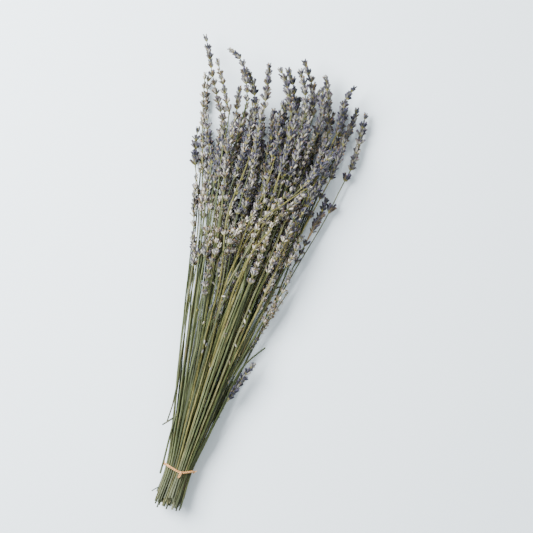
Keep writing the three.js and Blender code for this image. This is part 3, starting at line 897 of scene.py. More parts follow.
@dataclass(frozen=True)
class StemFinish:
    """Dry stem: olive to straw by the stalk, fibres along it, painted shade between its ridges."""

    dark: Colour = colour(54, 66, 30)
    olive: Colour = colour(80, 92, 45)
    sage: Colour = colour(112, 123, 78)
    straw: Colour = colour(166, 159, 95)
    brown: Colour = colour(124, 98, 58)
    grey: Colour = colour(126, 131, 108)
    # Painted shade: the colour that darkens the hollows between the ridges.
    groove: Colour = colour(84, 88, 66)
    fibre: Colour = colour(140, 142, 128)
    cloud_size: Place = (3 * MM, 26 * MM, 3 * MM)
    stain_size: Place = (4 * MM, 18 * MM, 4 * MM)
    fibre_size: Place = (0.3 * MM, 9 * MM, 0.3 * MM)
    relief: float = 0.15 * MM
    shine: float = 0.4

    def build(self) -> bpy.types.Material:
        """Makes the material.

        Returns:
            The material.
        """
        paint = Paint("dry_stem", roughness=0.62)
        clouds = paint.noise(self.cloud_size, grain=True)
        shade = paint.sum(paint.value_of("tint"), clouds, weight=0.6)
        tone = paint.ramp(
            shade, (0.05, self.dark), (0.38, self.olive), (0.66, self.sage), (0.95, self.straw)
        )
        stains = paint.noise(self.stain_size, detail=4, grain=True)
        tone = paint.mixed(paint.spread(stains, low=0.6, high=0.72, end=0.75), tone, self.brown)
        faded = paint.spread(paint.value_of("along"), low=0.16, high=0.02, end=0.5)
        tone = paint.mixed(faded, tone, self.grey)
        fibres = paint.noise(self.fibre_size, detail=4, grain=True)
        tone = paint.mixed(paint.spread(fibres, low=0.62, high=0.4), tone, self.fibre, "MULTIPLY")
        # Painted shade: darkens the stem between its ridges, where the rib mark is 0.
        groove_shade = paint.spread(paint.value_of("rib"), low=0.8, high=0.0, end=0.9)
        tone = paint.mixed(groove_shade, tone, self.groove, "MULTIPLY")
        paint.bumps(fibres, self.relief, strength=0.6)
        paint.give("Specular IOR Level", self.shine)
        return paint.done(tone)


@dataclass(frozen=True)
class BudFinish:
    """Downy bud: pale to violet by place, green-grey at its foot, painted shade in its hollows."""

    blush: Colour = colour(222, 214, 198)
    lilac: Colour = colour(142, 142, 136)
    violet: Colour = colour(88, 89, 93)
    blue: Colour = colour(54, 56, 72)
    # Painted shade in the hollow mouth; it also darkens the rim and the tips of the teeth.
    foot: Colour = colour(126, 126, 64)
    mouth: Colour = colour(60, 50, 54)
    brown: Colour = colour(112, 98, 70)
    # Painted shade between the ribs.
    groove: Colour = colour(104, 100, 104)
    down_size: Place = (0.5 * MM, 0.5 * MM, 0.5 * MM)
    relief: float = 0.15 * MM
    sheen: float = 0.15
    shine: float = 0.2

    def build(self) -> bpy.types.Material:
        """Makes the material.

        Returns:
            The material.
        """
        paint = Paint("downy_bud", roughness=0.85)
        shade = paint.sum(paint.value_of("tint"), paint.value_of("shade"), weight=1.0)
        tone = paint.ramp(
            shade, (0.05, self.blush), (0.36, self.lilac), (0.68, self.violet), (0.97, self.blue)
        )
        withered = paint.sum(paint.value_of("shade"), paint.value_of("dry"), weight=0.9)
        tone = paint.mixed(paint.spread(withered, low=0.86, high=1.0, end=0.75), tone, self.brown)
        along = paint.value_of("along")
        down = paint.noise(self.down_size, detail=4)
        foot = paint.spread(paint.sum(along, down, weight=0.3), low=0.52, high=0.12, end=0.88)
        tone = paint.mixed(foot, tone, self.foot)
        # Painted shade: the top of the bud darkens towards the sunken middle of its mouth.
        tone = paint.mixed(paint.spread(along, low=0.9, high=1.0, end=0.6), tone, self.mouth)
        # Painted shade: darkens the bud between its ribs.
        groove_shade = paint.spread(paint.value_of("rib"), low=0.7, high=0.0)
        tone = paint.mixed(groove_shade, tone, self.groove, "MULTIPLY")
        paint.bumps(down, self.relief, strength=0.5)
        paint.give("Sheen Weight", self.sheen)
        paint.give("Specular IOR Level", self.shine)
        return paint.done(tone)


@dataclass(frozen=True)
class PetalFinish:
    """Withered petal in a bud's mouth: blue violet, purple brown or tan."""

    blue: Colour = colour(84, 79, 102)
    purple: Colour = colour(82, 68, 76)
    tan: Colour = colour(140, 114, 76)
    crease_size: Place = (0.4 * MM, 0.4 * MM, 0.4 * MM)
    relief: float = 0.15 * MM

    def build(self) -> bpy.types.Material:
        """Makes the material.

        Returns:
            The material.
        """
        paint = Paint("withered_petal", roughness=0.8)
        shade = paint.sum(paint.value_of("shade"), paint.value_of("tint"), weight=-0.8)
        creases = paint.noise(self.crease_size, detail=4)
        shade = paint.sum(shade, creases, weight=0.3)
        paint.bumps(creases, self.relief, strength=0.7)
        return paint.done(
            paint.ramp(shade, (0.2, self.blue), (0.5, self.purple), (0.85, self.tan))
        )


@dataclass(frozen=True)
class BractFinish:
    """Papery bract or small leaf: olive yellow to brown, with darker veins."""

    olive: Colour = colour(148, 143, 72)
    tan: Colour = colour(148, 136, 98)
    brown: Colour = colour(100, 82, 60)
    vein: Colour = colour(98, 86, 60)
    vein_size: Place = (0.25 * MM, 1.6 * MM, 0.25 * MM)
    relief: float = 0.08 * MM

    def build(self) -> bpy.types.Material:
        """Makes the material.

        Returns:
            The material.
        """
        paint = Paint("papery_bract", roughness=0.75)
        shade = paint.value_of("shade")
        tone = paint.ramp(shade, (0.25, self.olive), (0.6, self.tan), (0.95, self.brown))
        veins = paint.noise(self.vein_size, detail=4)
        tone = paint.mixed(paint.spread(veins, low=0.55, high=0.7, end=0.7), tone, self.vein)
        paint.bumps(veins, self.relief, strength=0.6)
        return paint.done(tone)


@dataclass(frozen=True)
class MottledFinish:
    """A surface whose colour wanders, and which is slightly uneven where it has a relief.

    Its stops give the strength of the mottle at which each colour stands.
    """

    name: str
    roughness: float
    mottle: float
    detail: float
    stops: tuple[tuple[float, Colour], ...]
    relief: float = 0.0
    strength: float = 0.5

    def build(self) -> bpy.types.Material:
        """Makes the material.

        Returns:
            The material.
        """
        paint = Paint(self.name, self.roughness)
        mottle = paint.noise((self.mottle, self.mottle, self.mottle), self.detail)
        if self.relief:
            paint.bumps(mottle, self.relief, self.strength)
        return paint.done(paint.ramp(mottle, *self.stops))


# The cut end of a stem is pale fibre with a darker rim. The tie is tan rubber that has dried
# out, and the floor is plain and pale, like paper.
CUT_END = MottledFinish(
    "cut_end", roughness=0.9, mottle=0.3 * MM, detail=3,
    stops=((0.35, colour(150, 140, 95)), (0.6, colour(205, 196, 158))), relief=0.1 * MM,
)
TAN_RUBBER = MottledFinish(
    "tan_rubber", roughness=0.5, mottle=1.0 * MM, detail=4,
    stops=((0.36, colour(150, 98, 54)), (0.5, colour(194, 142, 84)), (0.64, colour(216, 170, 112))),
    relief=0.12 * MM,
)
PALE_FLOOR = MottledFinish(
    "pale_floor", roughness=0.9, mottle=0.3, detail=3,
    stops=((0, colour(233, 245, 254)), (1, colour(237, 249, 255))),
)


@dataclass(frozen=True)
class PhotoMap:
    """Where the photo's pixels lie on the floor: it looks straight down on the bunch."""

    neck: Spot
    side: int = 533
    pixel: float = 0.95 * MM
    tie_pixel: Spot = (181.8, 470.4)
    roll: float = math.radians(16)
    flower_edge: tuple[Spot, ...] = (
        (188, 256), (205, 262), (235, 258), (255, 268), (285, 280), (300, 258), (318, 222)
    )

    def seen(self, place: np.ndarray) -> Spot:
        """Finds the pixel that a place is seen at.

        Args:
            place: The place.

        Returns:
            The pixel, from the left and from the top.
        """
        x, y = (place[:2] - np.array(self.neck)) / self.pixel
        right = x * math.cos(self.roll) + y * math.sin(self.roll)
        below = x * math.sin(self.roll) - y * math.cos(self.roll)
        return right + self.tie_pixel[0], below + self.tie_pixel[1]

    def flowering(self, place: np.ndarray) -> bool:
        """Whether a place is seen above the lower edge of the mass of flowers."""
        across, down = self.seen(place)
        return down < np.interp(across, *zip(*self.flower_edge))

    def place(self, pixel: Spot) -> np.ndarray:
        """Finds the place on the floor that lies under a pixel.

        Args:
            pixel: The pixel, from the left and from the top.

        Returns:
            The place's x and y.
        """
        right, below = pixel[0] - self.tie_pixel[0], pixel[1] - self.tie_pixel[1]
        x = right * math.cos(self.roll) + below * math.sin(self.roll)
        y = right * math.sin(self.roll) - below * math.cos(self.roll)
        return np.array(self.neck) + np.array([x, y]) * self.pixel


@dataclass(frozen=True)
class Patch:
    """A round place of the photo whose spikes look alike.

    Its middle and reach are in pixels. The tint runs from 0, pale, to 1, blue violet, and
    the dryness and fullness run from 0 to 1.
    """

    middle: Spot
    reach: float
    tint: float
    dryness: float
    fullness: float


PATCHES = (
    Patch((207, 44), 14, 0.76, 0.5, 0.8),
    Patch((212, 80), 24, 0.62, 0.7, 0.65),
    Patch((194, 92), 12, 0.76, 0.5, 0.75),
    Patch((228, 118), 12, 0.56, 0.75, 0.7),
    Patch((196, 148), 12, 0.8, 0.4, 0.8),
    Patch((192, 205), 8, 0.8, 0.4, 0.6),
    Patch((191, 240), 7, 0.65, 0.5, 0.6),
    Patch((210, 190), 14, 0.45, 0.6, 0.9),
    Patch((212, 222), 16, 0.2, 0.75, 0.75),
    Patch((232, 240), 14, 0.24, 0.75, 0.6),
    Patch((252, 236), 14, 0.1, 0.7, 0.5),
    Patch((268, 224), 13, 0.24, 0.65, 0.5),
    Patch((268, 258), 13, 0.3, 0.65, 0.5),
    Patch((240, 66), 16, 0.7, 0.45, 0.95),
    Patch((268, 85), 14, 0.6, 0.6, 0.9),
    Patch((284, 78), 12, 0.82, 0.4, 1.0),
    Patch((272, 142), 16, 0.78, 0.4, 0.85),
    Patch((240, 170), 24, 0.68, 0.5, 0.8),
    Patch((238, 210), 9, 0.85, 0.4, 0.7),
    Patch((208, 275), 14, 0.7, 0.6, 0.3),
    Patch((240, 282), 18, 0.6, 0.55, 0.4),
    Patch((305, 66), 13, 0.85, 0.4, 1.0),
    Patch((300, 95), 20, 0.8, 0.4, 1.0),
    Patch((330, 160), 24, 0.72, 0.45, 1.0),
    Patch((352, 92), 13, 0.9, 0.4, 0.9),
    Patch((352, 120), 18, 0.95, 0.35, 1.0),
    Patch((290, 190), 20, 0.66, 0.5, 0.8),
    Patch((319, 216), 12, 0.92, 0.78, 0.7),
    Patch((278, 308), 18, 0.24, 1.0, 0.6),
    Patch((238, 390), 26, 0.95, 0.3, 1.0),
)


@dataclass
class ColourMap:
    """Chooses the colours of stalks, and of whorls by where the photo shows them."""

    photo: PhotoMap
    dice: Dice
    base: Values = (0.5, 0.5, 0.75)
    base_weight: float = 0.15
    spread: Values = (0.12, 0.1, 0.1)
    paleness: Pair = (0.5, 0.3)
    straw_slope: float = 0.36
    straw_lift: float = 0.35
    bare_paleness: float = 0.15

    def of(self, stalk: Stalk, place: np.ndarray) -> np.ndarray:
        """Finds the tint, dryness and fullness of a stalk at a place.

        Args:
            stalk: The stalk.
            place: A place on it.

        Returns:
            Three values from 0 to 1.
        """
        weights, values = [self.base_weight], [self.base]
        for patch in PATCHES:
            away = math.dist(self.photo.place(patch.middle), place[:2])
            weights.append(math.exp(-((away / (patch.reach * self.photo.pixel)) ** 2)))
            values.append((patch.tint, patch.dryness, patch.fullness))
        return np.clip(np.average(values, axis=0, weights=weights) + stalk.shift, 0, 1)

    def dress(self, stalk: Stalk) -> None:
        """Chooses a stalk's paleness, its shift of colour and how full its spike is.

        Args:
            stalk: The stalk, which keeps them.
        """
        if stalk.rings is None:
            stalk.paleness = self.bare_paleness
            return
        run = stalk.stem[-1] - stalk.stem[-2]
        slanted = abs(run[0]) > self.straw_slope * abs(run[1])
        pale = self.dice.normal(*self.paleness) + (self.straw_lift if slanted else 0)
        stalk.paleness = float(np.clip(pale, 0, 1))
        stalk.shift = tuple(self.dice.normal(0, 1, 3) * self.spread)
        stalk.fullness = float(self.of(stalk, stalk.rings.mean(axis=0))[2])


class Habit(Enum):
    """How a whorl has grown: the least and most outer and inner buds, and their size."""

    FULL = ((6, 8), (4, 5), 1.18)
    THIN = ((4, 6), (3, 4), 1.12)
    TUFT = ((4, 5), (2, 3), 1.05)
    TIP = ((0, 0), (3, 4), 0.9)


@dataclass
class FlowerModels:
    """The models that the spikes are made of: a bud, a petal, a bract and whorls of them.

    Leans and creases are in degrees, and spins and strays in radians. Each of the bud's
    sections has its rise and how it swells. The bract's shoulder says from which share of its
    length it narrows, and to what share of its width. Its fold says how near its middle, from
    what height and how deep it is cupped.
    """

    dice: Dice
    finishes: dict[str, bpy.types.Material]
    near: float = 0.1 * MM
    bud_sides: int = 8
    bud_foot: float = 0.42 * MM
    bud_sections: tuple[Pair, ...] = ((1.8 * MM, 2.35), (3.0 * MM, 0.88))
    bud_crease: float = 75
    bud_sizes: Pair = (0.74, 1.1)
    bud_spin: Pair = (0, 1)
    bud_stray: Pair = (-0.3, 0.3)
    mouth_depth: float = 1.2 * MM
    # The rim's mark along the bud, just past 0.9, where the finish's painted mouth shade starts.
    rim_mark: float = 0.93
    tooth: float = 0.5 * MM
    rib_groove: float = 0.82
    petal_seeds: int = 4
    petal_share: float = 0.45
    petal_sides: int = 6
    petal_length: float = 1.7 * MM
    petal_radii: Pair = (0.3 * MM, 0.9 * MM)
    petal_rim: float = 0.18 * MM
    petal_hollow: float = 0.8 * MM
    petal_crumple: float = 0.32 * MM
    petal_crease: float = 60
    petal_sink: float = 0.5 * MM
    petal_spin: Pair = (0, 6)
    bract_sides: int = 8
    bract_length: float = 3.9 * MM
    bract_width: float = 2.5 * MM
    bract_shoulder: Pair = (0.8, 0.55)
    bract_fold: Values = (0.2 * MM, 0.3 * MM, 0.5 * MM)
    bract_point: float = 0.95
    bract_curl: Place = (0, -0.6 * MM, 0.5 * MM)
    bract_skin: float = 0.12 * MM
    bract_crease: float = 50
    bract_stray: Pair = (-0.4, 0.4)
    bract_seat: Place = (0.5 * MM, 0, -0.3 * MM)
    bract_lean: Pair = (30, 52)
    bract_sizes: Pair = (0.75, 1.05)
    outer_lean: Pair = (27, 47)
    inner_lean: Pair = (10, 30)
    tuft_lean: Pair = (12, 32)
    outer_rise: Pair = (0.0, 1.2 * MM)
    inner_rise: Pair = (1.2 * MM, 2.6 * MM)
    tuft_rise: Pair = (0, 0.5 * MM)
    foot_radius: float = 0.6 * MM
    variants: int = 8
    whorls: dict[Habit, list[Piece]] = field(default_factory=dict)

    def build(self) -> None:
        """Models every part and the whorls made of them, and takes them off the scene."""
        self.bud = shelve(self.model_bud())
        self.petals = [shelve(self.model_petal(seed)) for seed in range(self.petal_seeds)]
        self.bract = shelve(self.model_bract())
        for habit in Habit:
            self.whorls[habit] = [shelve(self.model_whorl(habit)) for _ in range(self.variants)]

    def whorl(self, habit: Habit) -> Piece:
        """Copies one of the whorls of a habit, chosen at random."""
        models = self.whorls[habit]
        return copy_of(models[int(self.dice.integers(len(models)))], "whorl")

    def model_bud(self) -> Piece:
        """Models one bud on +Z: a ribbed cup with a toothed, hollow mouth.

        Returns:
            The bud, with its foot at the origin.
        """
        bud = primitive(
            "bud_model", bpy.ops.mesh.primitive_circle_add,
            vertices=self.bud_sides, radius=self.bud_foot, fill_type="NGON",
        )
        height = 0.0
        with editing(bud):
            bpy.ops.mesh.select_all(action="SELECT")
            for rise, swell in self.bud_sections:
                height += rise
                bpy.ops.mesh.extrude_region_move(TRANSFORM_OT_translate={"value": (0, 0, rise)})
                stretch(swell, swell, 1, height)
            bpy.ops.mesh.poke()
            rim = height - self.near
            pick(bud, lambda p: p.z > rim and math.hypot(p.x, p.y) < self.near)
            push(0, 0, -self.mouth_depth)
            pick(bud, lambda p: p.z > self.near and not on_ridge(p.x, p.y, self.bud_sides))
            stretch(self.rib_groove, self.rib_groove, 1)
            pick(bud, lambda p: p.z > rim and on_ridge(p.x, p.y, self.bud_sides))
            push(0, 0, self.tooth)
        finish_mesh(bud, self.bud_crease)
        x, y, z = places_of(bud.data).T
        # The finish paints shade between the ribs, where this mark is 0.
        mark(bud.data, "rib", on_ridge(x, y, self.bud_sides))
        # The sunken middle of the mouth gets the top mark, so that the finish paints it with the
        # darkest shade.
        inside = (np.hypot(x, y) < self.near) & (z > MM)
        mark(bud.data, "along", np.where(inside, 1.0, self.rim_mark * z / height))
        bud.data.materials.append(self.finishes["bud"])
        return bud

    def model_petal(self, seed: int) -> Piece:
        """Models the withered petals that hang from a bud's mouth.

        Args:
            seed: Another number gives other creases.

        Returns:
            A crumpled, flared scrap on +Z with its root at the origin.
        """
        middle = self.petal_length / 2
        petal = primitive(
            "petal_model", bpy.ops.mesh.primitive_cone_add,
            vertices=self.petal_sides, radius1=self.petal_radii[0], radius2=self.petal_radii[1],
            depth=self.petal_length, location=(0, 0, middle),
        )
        with editing(petal):
            pick(petal, lambda p: p.z > middle)
            bpy.ops.mesh.select_mode(type="FACE")
            bpy.ops.mesh.inset(thickness=self.petal_rim)
            push(0, 0, -self.petal_hollow)
            bpy.ops.mesh.select_all(action="SELECT")
            bpy.ops.transform.vertex_random(offset=self.petal_crumple, seed=seed)
        finish_mesh(petal, self.petal_crease)
        petal.data.materials.append(self.finishes["petal"])
        return petal

    def model_bract(self) -> Piece:
        """Models a pointed, cupped bract.

        Returns:
            The bract, which lies along +Z with its root at the origin.
        """
        bract = primitive(
            "bract_model", bpy.ops.mesh.primitive_circle_add,
            vertices=self.bract_sides, radius=0.5, fill_type="NGON", rotation=(math.pi / 2, 0, 0),
        )
        shoulder, narrowed = self.bract_shoulder
        beside, above, depth = self.bract_fold
        with editing(bract):
            bpy.ops.mesh.select_all(action="SELECT")
            push(0, 0, 0.5)
            bpy.ops.mesh.poke()
            bpy.ops.mesh.select_all(action="SELECT")
            stretch(self.bract_width, 1, self.bract_length)
            pick(bract, lambda p: p.z > shoulder * self.bract_length)
            stretch(narrowed, 1, 1)
            pick(bract, lambda p: abs(p.x) < beside and p.z > above)
            push(0, depth, 0)
            pick(bract, lambda p: p.z > self.bract_point * self.bract_length)
            push(*self.bract_curl)
        skin = bract.modifiers.new("skin", "SOLIDIFY")
        skin.thickness = self.bract_skin
        alone(bract)
        bpy.ops.object.modifier_apply(modifier=skin.name)
        finish_mesh(bract, self.bract_crease)
        bract.data.materials.append(self.finishes["bract"])
        return bract

    def placed(self, model: Piece, matrix: Matrix) -> Piece:
        """Copies a model to a place, with a shade of its own.

        Args:
            model: The model.
            matrix: Its placement.

        Returns:
            The copy.
        """
        copy = copy_of(model, model.name + "_copy")
        copy.data.transform(matrix)
        mark(copy.data, "shade", self.dice.uniform())
        return copy

    def _bud_at(self, angle: float, lean: Pair, rise: Pair, size: float) -> list[Piece]:
        """Sets one bud at an angle round +Z, often with a petal.

        Args:
            angle: Its way out from the axis.
            lean: The least and most angle in degrees that it leans by.
            rise: The least and most height of its foot.
            size: Its size.

        Returns:
            The bud, and the petal if it has one.
        """
        stand = (
            turned(angle, "Z")
            @ moved(self.foot_radius, 0, self.dice.uniform(*rise))
            @ turned(math.radians(self.dice.uniform(*lean)), "Y")
            @ turned(self.dice.uniform(*self.bud_spin), "Z")
            @ scaled(size * self.dice.uniform(*self.bud_sizes))
        )
        parts = [self.placed(self.bud, stand)]
        if self.dice.uniform() < self.petal_share:
            petal = self.petals[int(self.dice.integers(len(self.petals)))]
            mouth = sum(rise for rise, _ in self.bud_sections) - self.petal_sink
            stand = stand @ moved(0, 0, mouth) @ turned(self.dice.uniform(*self.petal_spin), "Z")
            parts.append(self.placed(petal, stand))
        return parts

    def model_whorl(self, habit: Habit) -> Piece:
        """Sets buds, petals and bracts round +Z.

        Args:
            habit: How the whorl has grown.

        Returns:
            The whorl, with the stem's axis on +Z and its foot at the origin.
        """
        outer, inner, size = habit.value
        parts = []
        slim = habit in (Habit.TUFT, Habit.TIP)
        for (least, most), lean, rise in (
            (outer, self.tuft_lean if slim else self.outer_lean, self.outer_rise),
            (inner, self.inner_lean, self.tuft_rise if slim else self.inner_rise),
        ):
            count = int(self.dice.integers(least, most + 1))
            start = self.dice.uniform(0, math.pi)
            for k in range(count):
                angle = start + 2 * math.pi * k / count + self.dice.uniform(*self.bud_stray)
                parts += self._bud_at(angle, lean, rise, size)
        for half in () if slim else (0, math.pi):
            stand = (
                turned(half + self.dice.uniform(*self.bract_stray), "Z")
                @ moved(*self.bract_seat)
                @ turned(math.radians(self.dice.uniform(*self.bract_lean)), "Y")
                @ turned(math.pi / 2, "Z")
                @ scaled(self.dice.uniform(*self.bract_sizes))
            )
            parts.append(self.placed(self.bract, stand))
        return join(parts, f"whorl_{habit.name.lower()}")


@dataclass
class SpikeGrower:
    """Sets bud whorls along a line, from a spike's foot to its tip."""

    models: FlowerModels
    rod: Piece
    colours: ColourMap
    dice: Dice
    axis_widths: Pair = (0.74 * MM, 0.45 * MM)
    corner: float = 6 * MM
    overlap: float = 2.5 * MM
    top_reach: float = 5 * MM
    bottom_swell: float = 0.86
    narrow_from: float = 0.62
    top_swell: float = 0.88
    foot_share: float = 0.6
    between_share: float = 0.7
    tip_gap: float = 0.38
    slimmest: float = 0.76
    shrinking: float = 0.22
    sizes: Pair = (0.92, 1.1)
    stray: Pair = (-0.3, 0.3)

    def swell(self, share: float) -> float:
        """A whorl's size by its share of the way up the spike."""
        narrowed = min(1.0, max(0.0, share - self.narrow_from) / (1 - self.narrow_from))
        return min(1.0, self.bottom_swell + share) * (1 - (1 - self.top_swell) * narrowed)

    def whorl_on(
        self, stalk: Stalk, line: Line, distance: float, habit: Habit, size: float, spin: float
    ) -> Piece:
        """Sets a whorl on a line and colours it.

        Args:
            stalk: The stalk that it grows on.
            line: The line of the stalk.
            distance: How far along it the whorl's foot stands.
            habit: How the whorl has grown.
            size: The size that it would have if it were deep violet. Pale ones are smaller.
            spin: Its turn about the line.

        Returns:
            The whorl.
        """
        tint, dryness, _ = self.colours.of(stalk, line.at(distance)[0])
        copy = self.models.whorl(habit)
        shrunk = scaled(size * (1 - self.shrinking * (1 - tint)))
        copy.data.transform(line.stand(distance) @ turned(spin, "Z") @ shrunk)
        mark(copy.data, "tint", tint)
        mark(copy.data, "dry", dryness)
        return copy

    def spots(self, whorls: int, fullness: float) -> list[tuple[float, Habit]]:
        """Chooses where a spike's whorls stand.

        Args:
            whorls: How many steps from ring to ring the spike has.
            fullness: How full it is.

        Returns:
            The place of each whorl, counted in rings from the spike's foot, and its habit.
        """
        found = []
        for k in range(whorls):
            full = self.dice.uniform() < fullness * (self.foot_share if k == 0 else 1)
            found.append((k, Habit.FULL if full else Habit.THIN))
            if self.dice.uniform() < self.between_share * fullness:
                found.append((k + 0.5, Habit.TUFT))
        return [*found, (whorls, Habit.TUFT), (whorls + self.tip_gap, Habit.TIP)]

    def spike(self, rings: np.ndarray, stalk: Stalk) -> list[Piece]:
        """Builds the axis and the whorls of one spike.

        Args:
            rings: The places of its whorls, and of its top.
            stalk: The stalk, whose colours it takes.

        Returns:
            Its parts, still apart, with the axis first.
        """
        line = Line(rings).softened(self.corner)
        _, along, _, _ = line.frames(np.array([0.0, line.length]))
        low, high = rings[0] - along[0] * self.overlap, rings[-1] + along[1] * self.top_reach
        whole = Line(np.vstack([low, line.points, high]))
        turn = self.dice.uniform(*ROD_TURN)
        parts = [
            lay_rod(self.rod, "axis", whole, self.axis_widths, stalk.paleness, self.dice, turn=turn)
        ]
        whorls = len(rings) - 1
        start = self.dice.uniform(0, math.pi)
        girth = stalk.girth * (self.slimmest + (1 - self.slimmest) * stalk.fullness)
        for k, habit in self.spots(whorls, stalk.fullness):
            distance = k * line.length / whorls
            size = girth * self.swell((k + 0.5) / whorls) * self.dice.uniform(*self.sizes)
            spin = start + k * math.pi / 2 + self.dice.uniform(*self.stray)
            parts.append(self.whorl_on(stalk, line, distance, habit, size, spin))
        return parts


@dataclass
class FlowerSpikes:
    """The flower spikes of one node: bud whorls round the ends of one or two stalks."""

    node: str
    stalks: list[tuple[Stalk, Line]]
    grower: SpikeGrower
    dice: Dice
    photo: PhotoMap
    low_pitch: float = 8.6 * MM
    low_start: Pair = (1.1, 2.0)
    low_gaps: Pair = (1.0, 1.25)
    low_share: float = 0.42
    low_full: float = 0.35
    low_sizes: Pair = (0.8, 0.98)
    low_spin: Pair = (0, 3)
    most_low: int = 5
    lowest: float = 0.1 * MM
    soft_floor: float = 0.6 * MM

    def low_whorls(self, stalk: Stalk, stem: Line) -> list[Piece]:
        """Sets some whorls on the stem below a spike, inside the mass of flowers.

        Args:
            stalk: The stalk.
            stem: The line of its stem, which ends where the spike starts.

        Returns:
            The whorls, few or none for many stalks.
        """
        found = []
        distance = stem.length - self.dice.uniform(*self.low_start) * self.low_pitch
        while distance > 0 and len(found) < self.most_low:
            if not self.photo.flowering(stem.at(distance)[0]):
                break
            if self.dice.uniform() < self.low_share:
                habit = Habit.FULL if self.dice.uniform() < self.low_full else Habit.THIN
                size, spin = self.dice.uniform(*self.low_sizes), self.dice.uniform(*self.low_spin)
                found.append(self.grower.whorl_on(stalk, stem, distance, habit, size, spin))
            distance -= self.low_pitch * self.dice.uniform(*self.low_gaps)
        return found

    def rest_on_floor(self, piece: Piece) -> None:
        """Presses up softly whatever would reach below the floor.

        Args:
            piece: The piece that rests there.
        """
        places = places_of(piece.data)
        reach = self.soft_floor - self.lowest
        pressed = self.lowest + reach * np.exp((places[:, 2] - self.soft_floor) / reach)
        places[:, 2] = np.where(places[:, 2] < self.soft_floor, pressed, places[:, 2])
        put_places(piece.data, places)

    def build(self, slot: str) -> Piece:
        """Builds the node's spikes as one piece.

        Args:
            slot: The record's material slot of the node; not used.

        Returns:
            The piece, which replaces the node.
        """
        parts = []
        for stalk, stem in self.stalks:
            parts += self.grower.spike(stalk.flowering, stalk)
            parts += self.low_whorls(stalk, stem)
        piece = join(parts, "dried_" + self.node)
        self.rest_on_floor(piece)
        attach(piece, BODY)
        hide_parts(self.node)
        return piece


@dataclass
class StemBundle:
    """All the stems, from their cut ends through the tie to their flower spikes.

    The draw gives, for distances up the bunch from the tie, the share that the stems' reach
    from the middle shrinks to, and their shift aside, so that the bunch is as narrow there as
    in the photo.
    """

    stalks: list[Stalk]
    rod: Piece
    dice: Dice
    widths: Values = (1.0 * MM, 1.02 * MM, 0.68 * MM)
    width_stops: Values = (0, 0.15, 1)
    sizes: Pair = (0.8, 1.12)
    twists: Pair = (-0.9, 0.9)
    uneven: float = 2.6 * MM
    most_uneven: Pair = (-1.8, 2.2)
    wave: float = 0.3 * MM
    corner: float = 22 * MM
    neck_stir: float = 0.28 * MM
    neck_rise: Pair = (-0.2, 1)
    end_stir: Place = (1.5 * MM, 0, 1.5 * MM)
    floor_gap: float = 1.2 * MM
    draw: tuple[Values, ...] = (
        (-36 * MM, 0.77, -3.2 * MM),
        (0.0, 0.84, -2.8 * MM),
        (30 * MM, 0.93, -2.4 * MM),
        (70 * MM, 0.97, -2.1 * MM),
        (150 * MM, 1.0, -1.6 * MM),
        (230 * MM, 1.0, 0.0),
    )
    neck: np.ndarray = field(default_factory=lambda: np.zeros(3))
    lines: list[Line] = field(default_factory=list)

    def line_of(self, stalk: Stalk) -> Line:
        """Makes the fine line of one stem, up to where its spike starts.

        Args:
            stalk: The stem's stalk.

        Returns:
            The line.
        """
        points = stalk.stem.copy()
        points[0] += self.dice.uniform(-1, 1, 3) * np.array(self.end_stir)
        points[0, 1] += float(np.clip(self.dice.normal(0, 1), *self.most_uneven)) * self.uneven
        points[1:3, 0] += self.dice.uniform(-1, 1) * self.neck_stir
        points[1:3, 2] += self.dice.uniform(*self.neck_rise) * self.neck_stir
        if stalk.rings is not None:
            points = np.vstack([points[:-1], stalk.rings[: 2 if stalk.footed else 1]])
        line = Line(points).softened(self.corner).wavy(self.wave, self.dice)
        heights, squeezes, shifts = zip(*self.draw)
        above = line.points[:, 1] - self.neck[1]
        aside = line.points[:, 0] - self.neck[0]
        aside = aside * np.interp(above, heights, squeezes) + np.interp(above, heights, shifts)
        line.points[:, 0] = self.neck[0] + aside
        line.points[:, 2] = np.maximum(line.points[:, 2], self.floor_gap)
        return Line(line.points)

    def build(self) -> Piece:
        """Builds the stems as one piece.

        Returns:
            The piece, which replaces the stems' node.
        """
        parts = []
        for stalk in self.stalks:
            line = self.line_of(stalk)
            self.lines.append(line)
            size = self.dice.uniform(*self.sizes)
            widths = tuple(size * width for width in self.widths)
            turn, twist = self.dice.uniform(*ROD_TURN), self.dice.uniform(*self.twists)
            parts.append(
                lay_rod(
                    self.rod, "stem", line, widths, stalk.paleness, self.dice,
                    stops=self.width_stops, turn=turn, twist=twist,
                )
            )
        piece = join(parts, "stem_bundle")
        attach(piece, BODY)
        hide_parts("stems")
        return piece


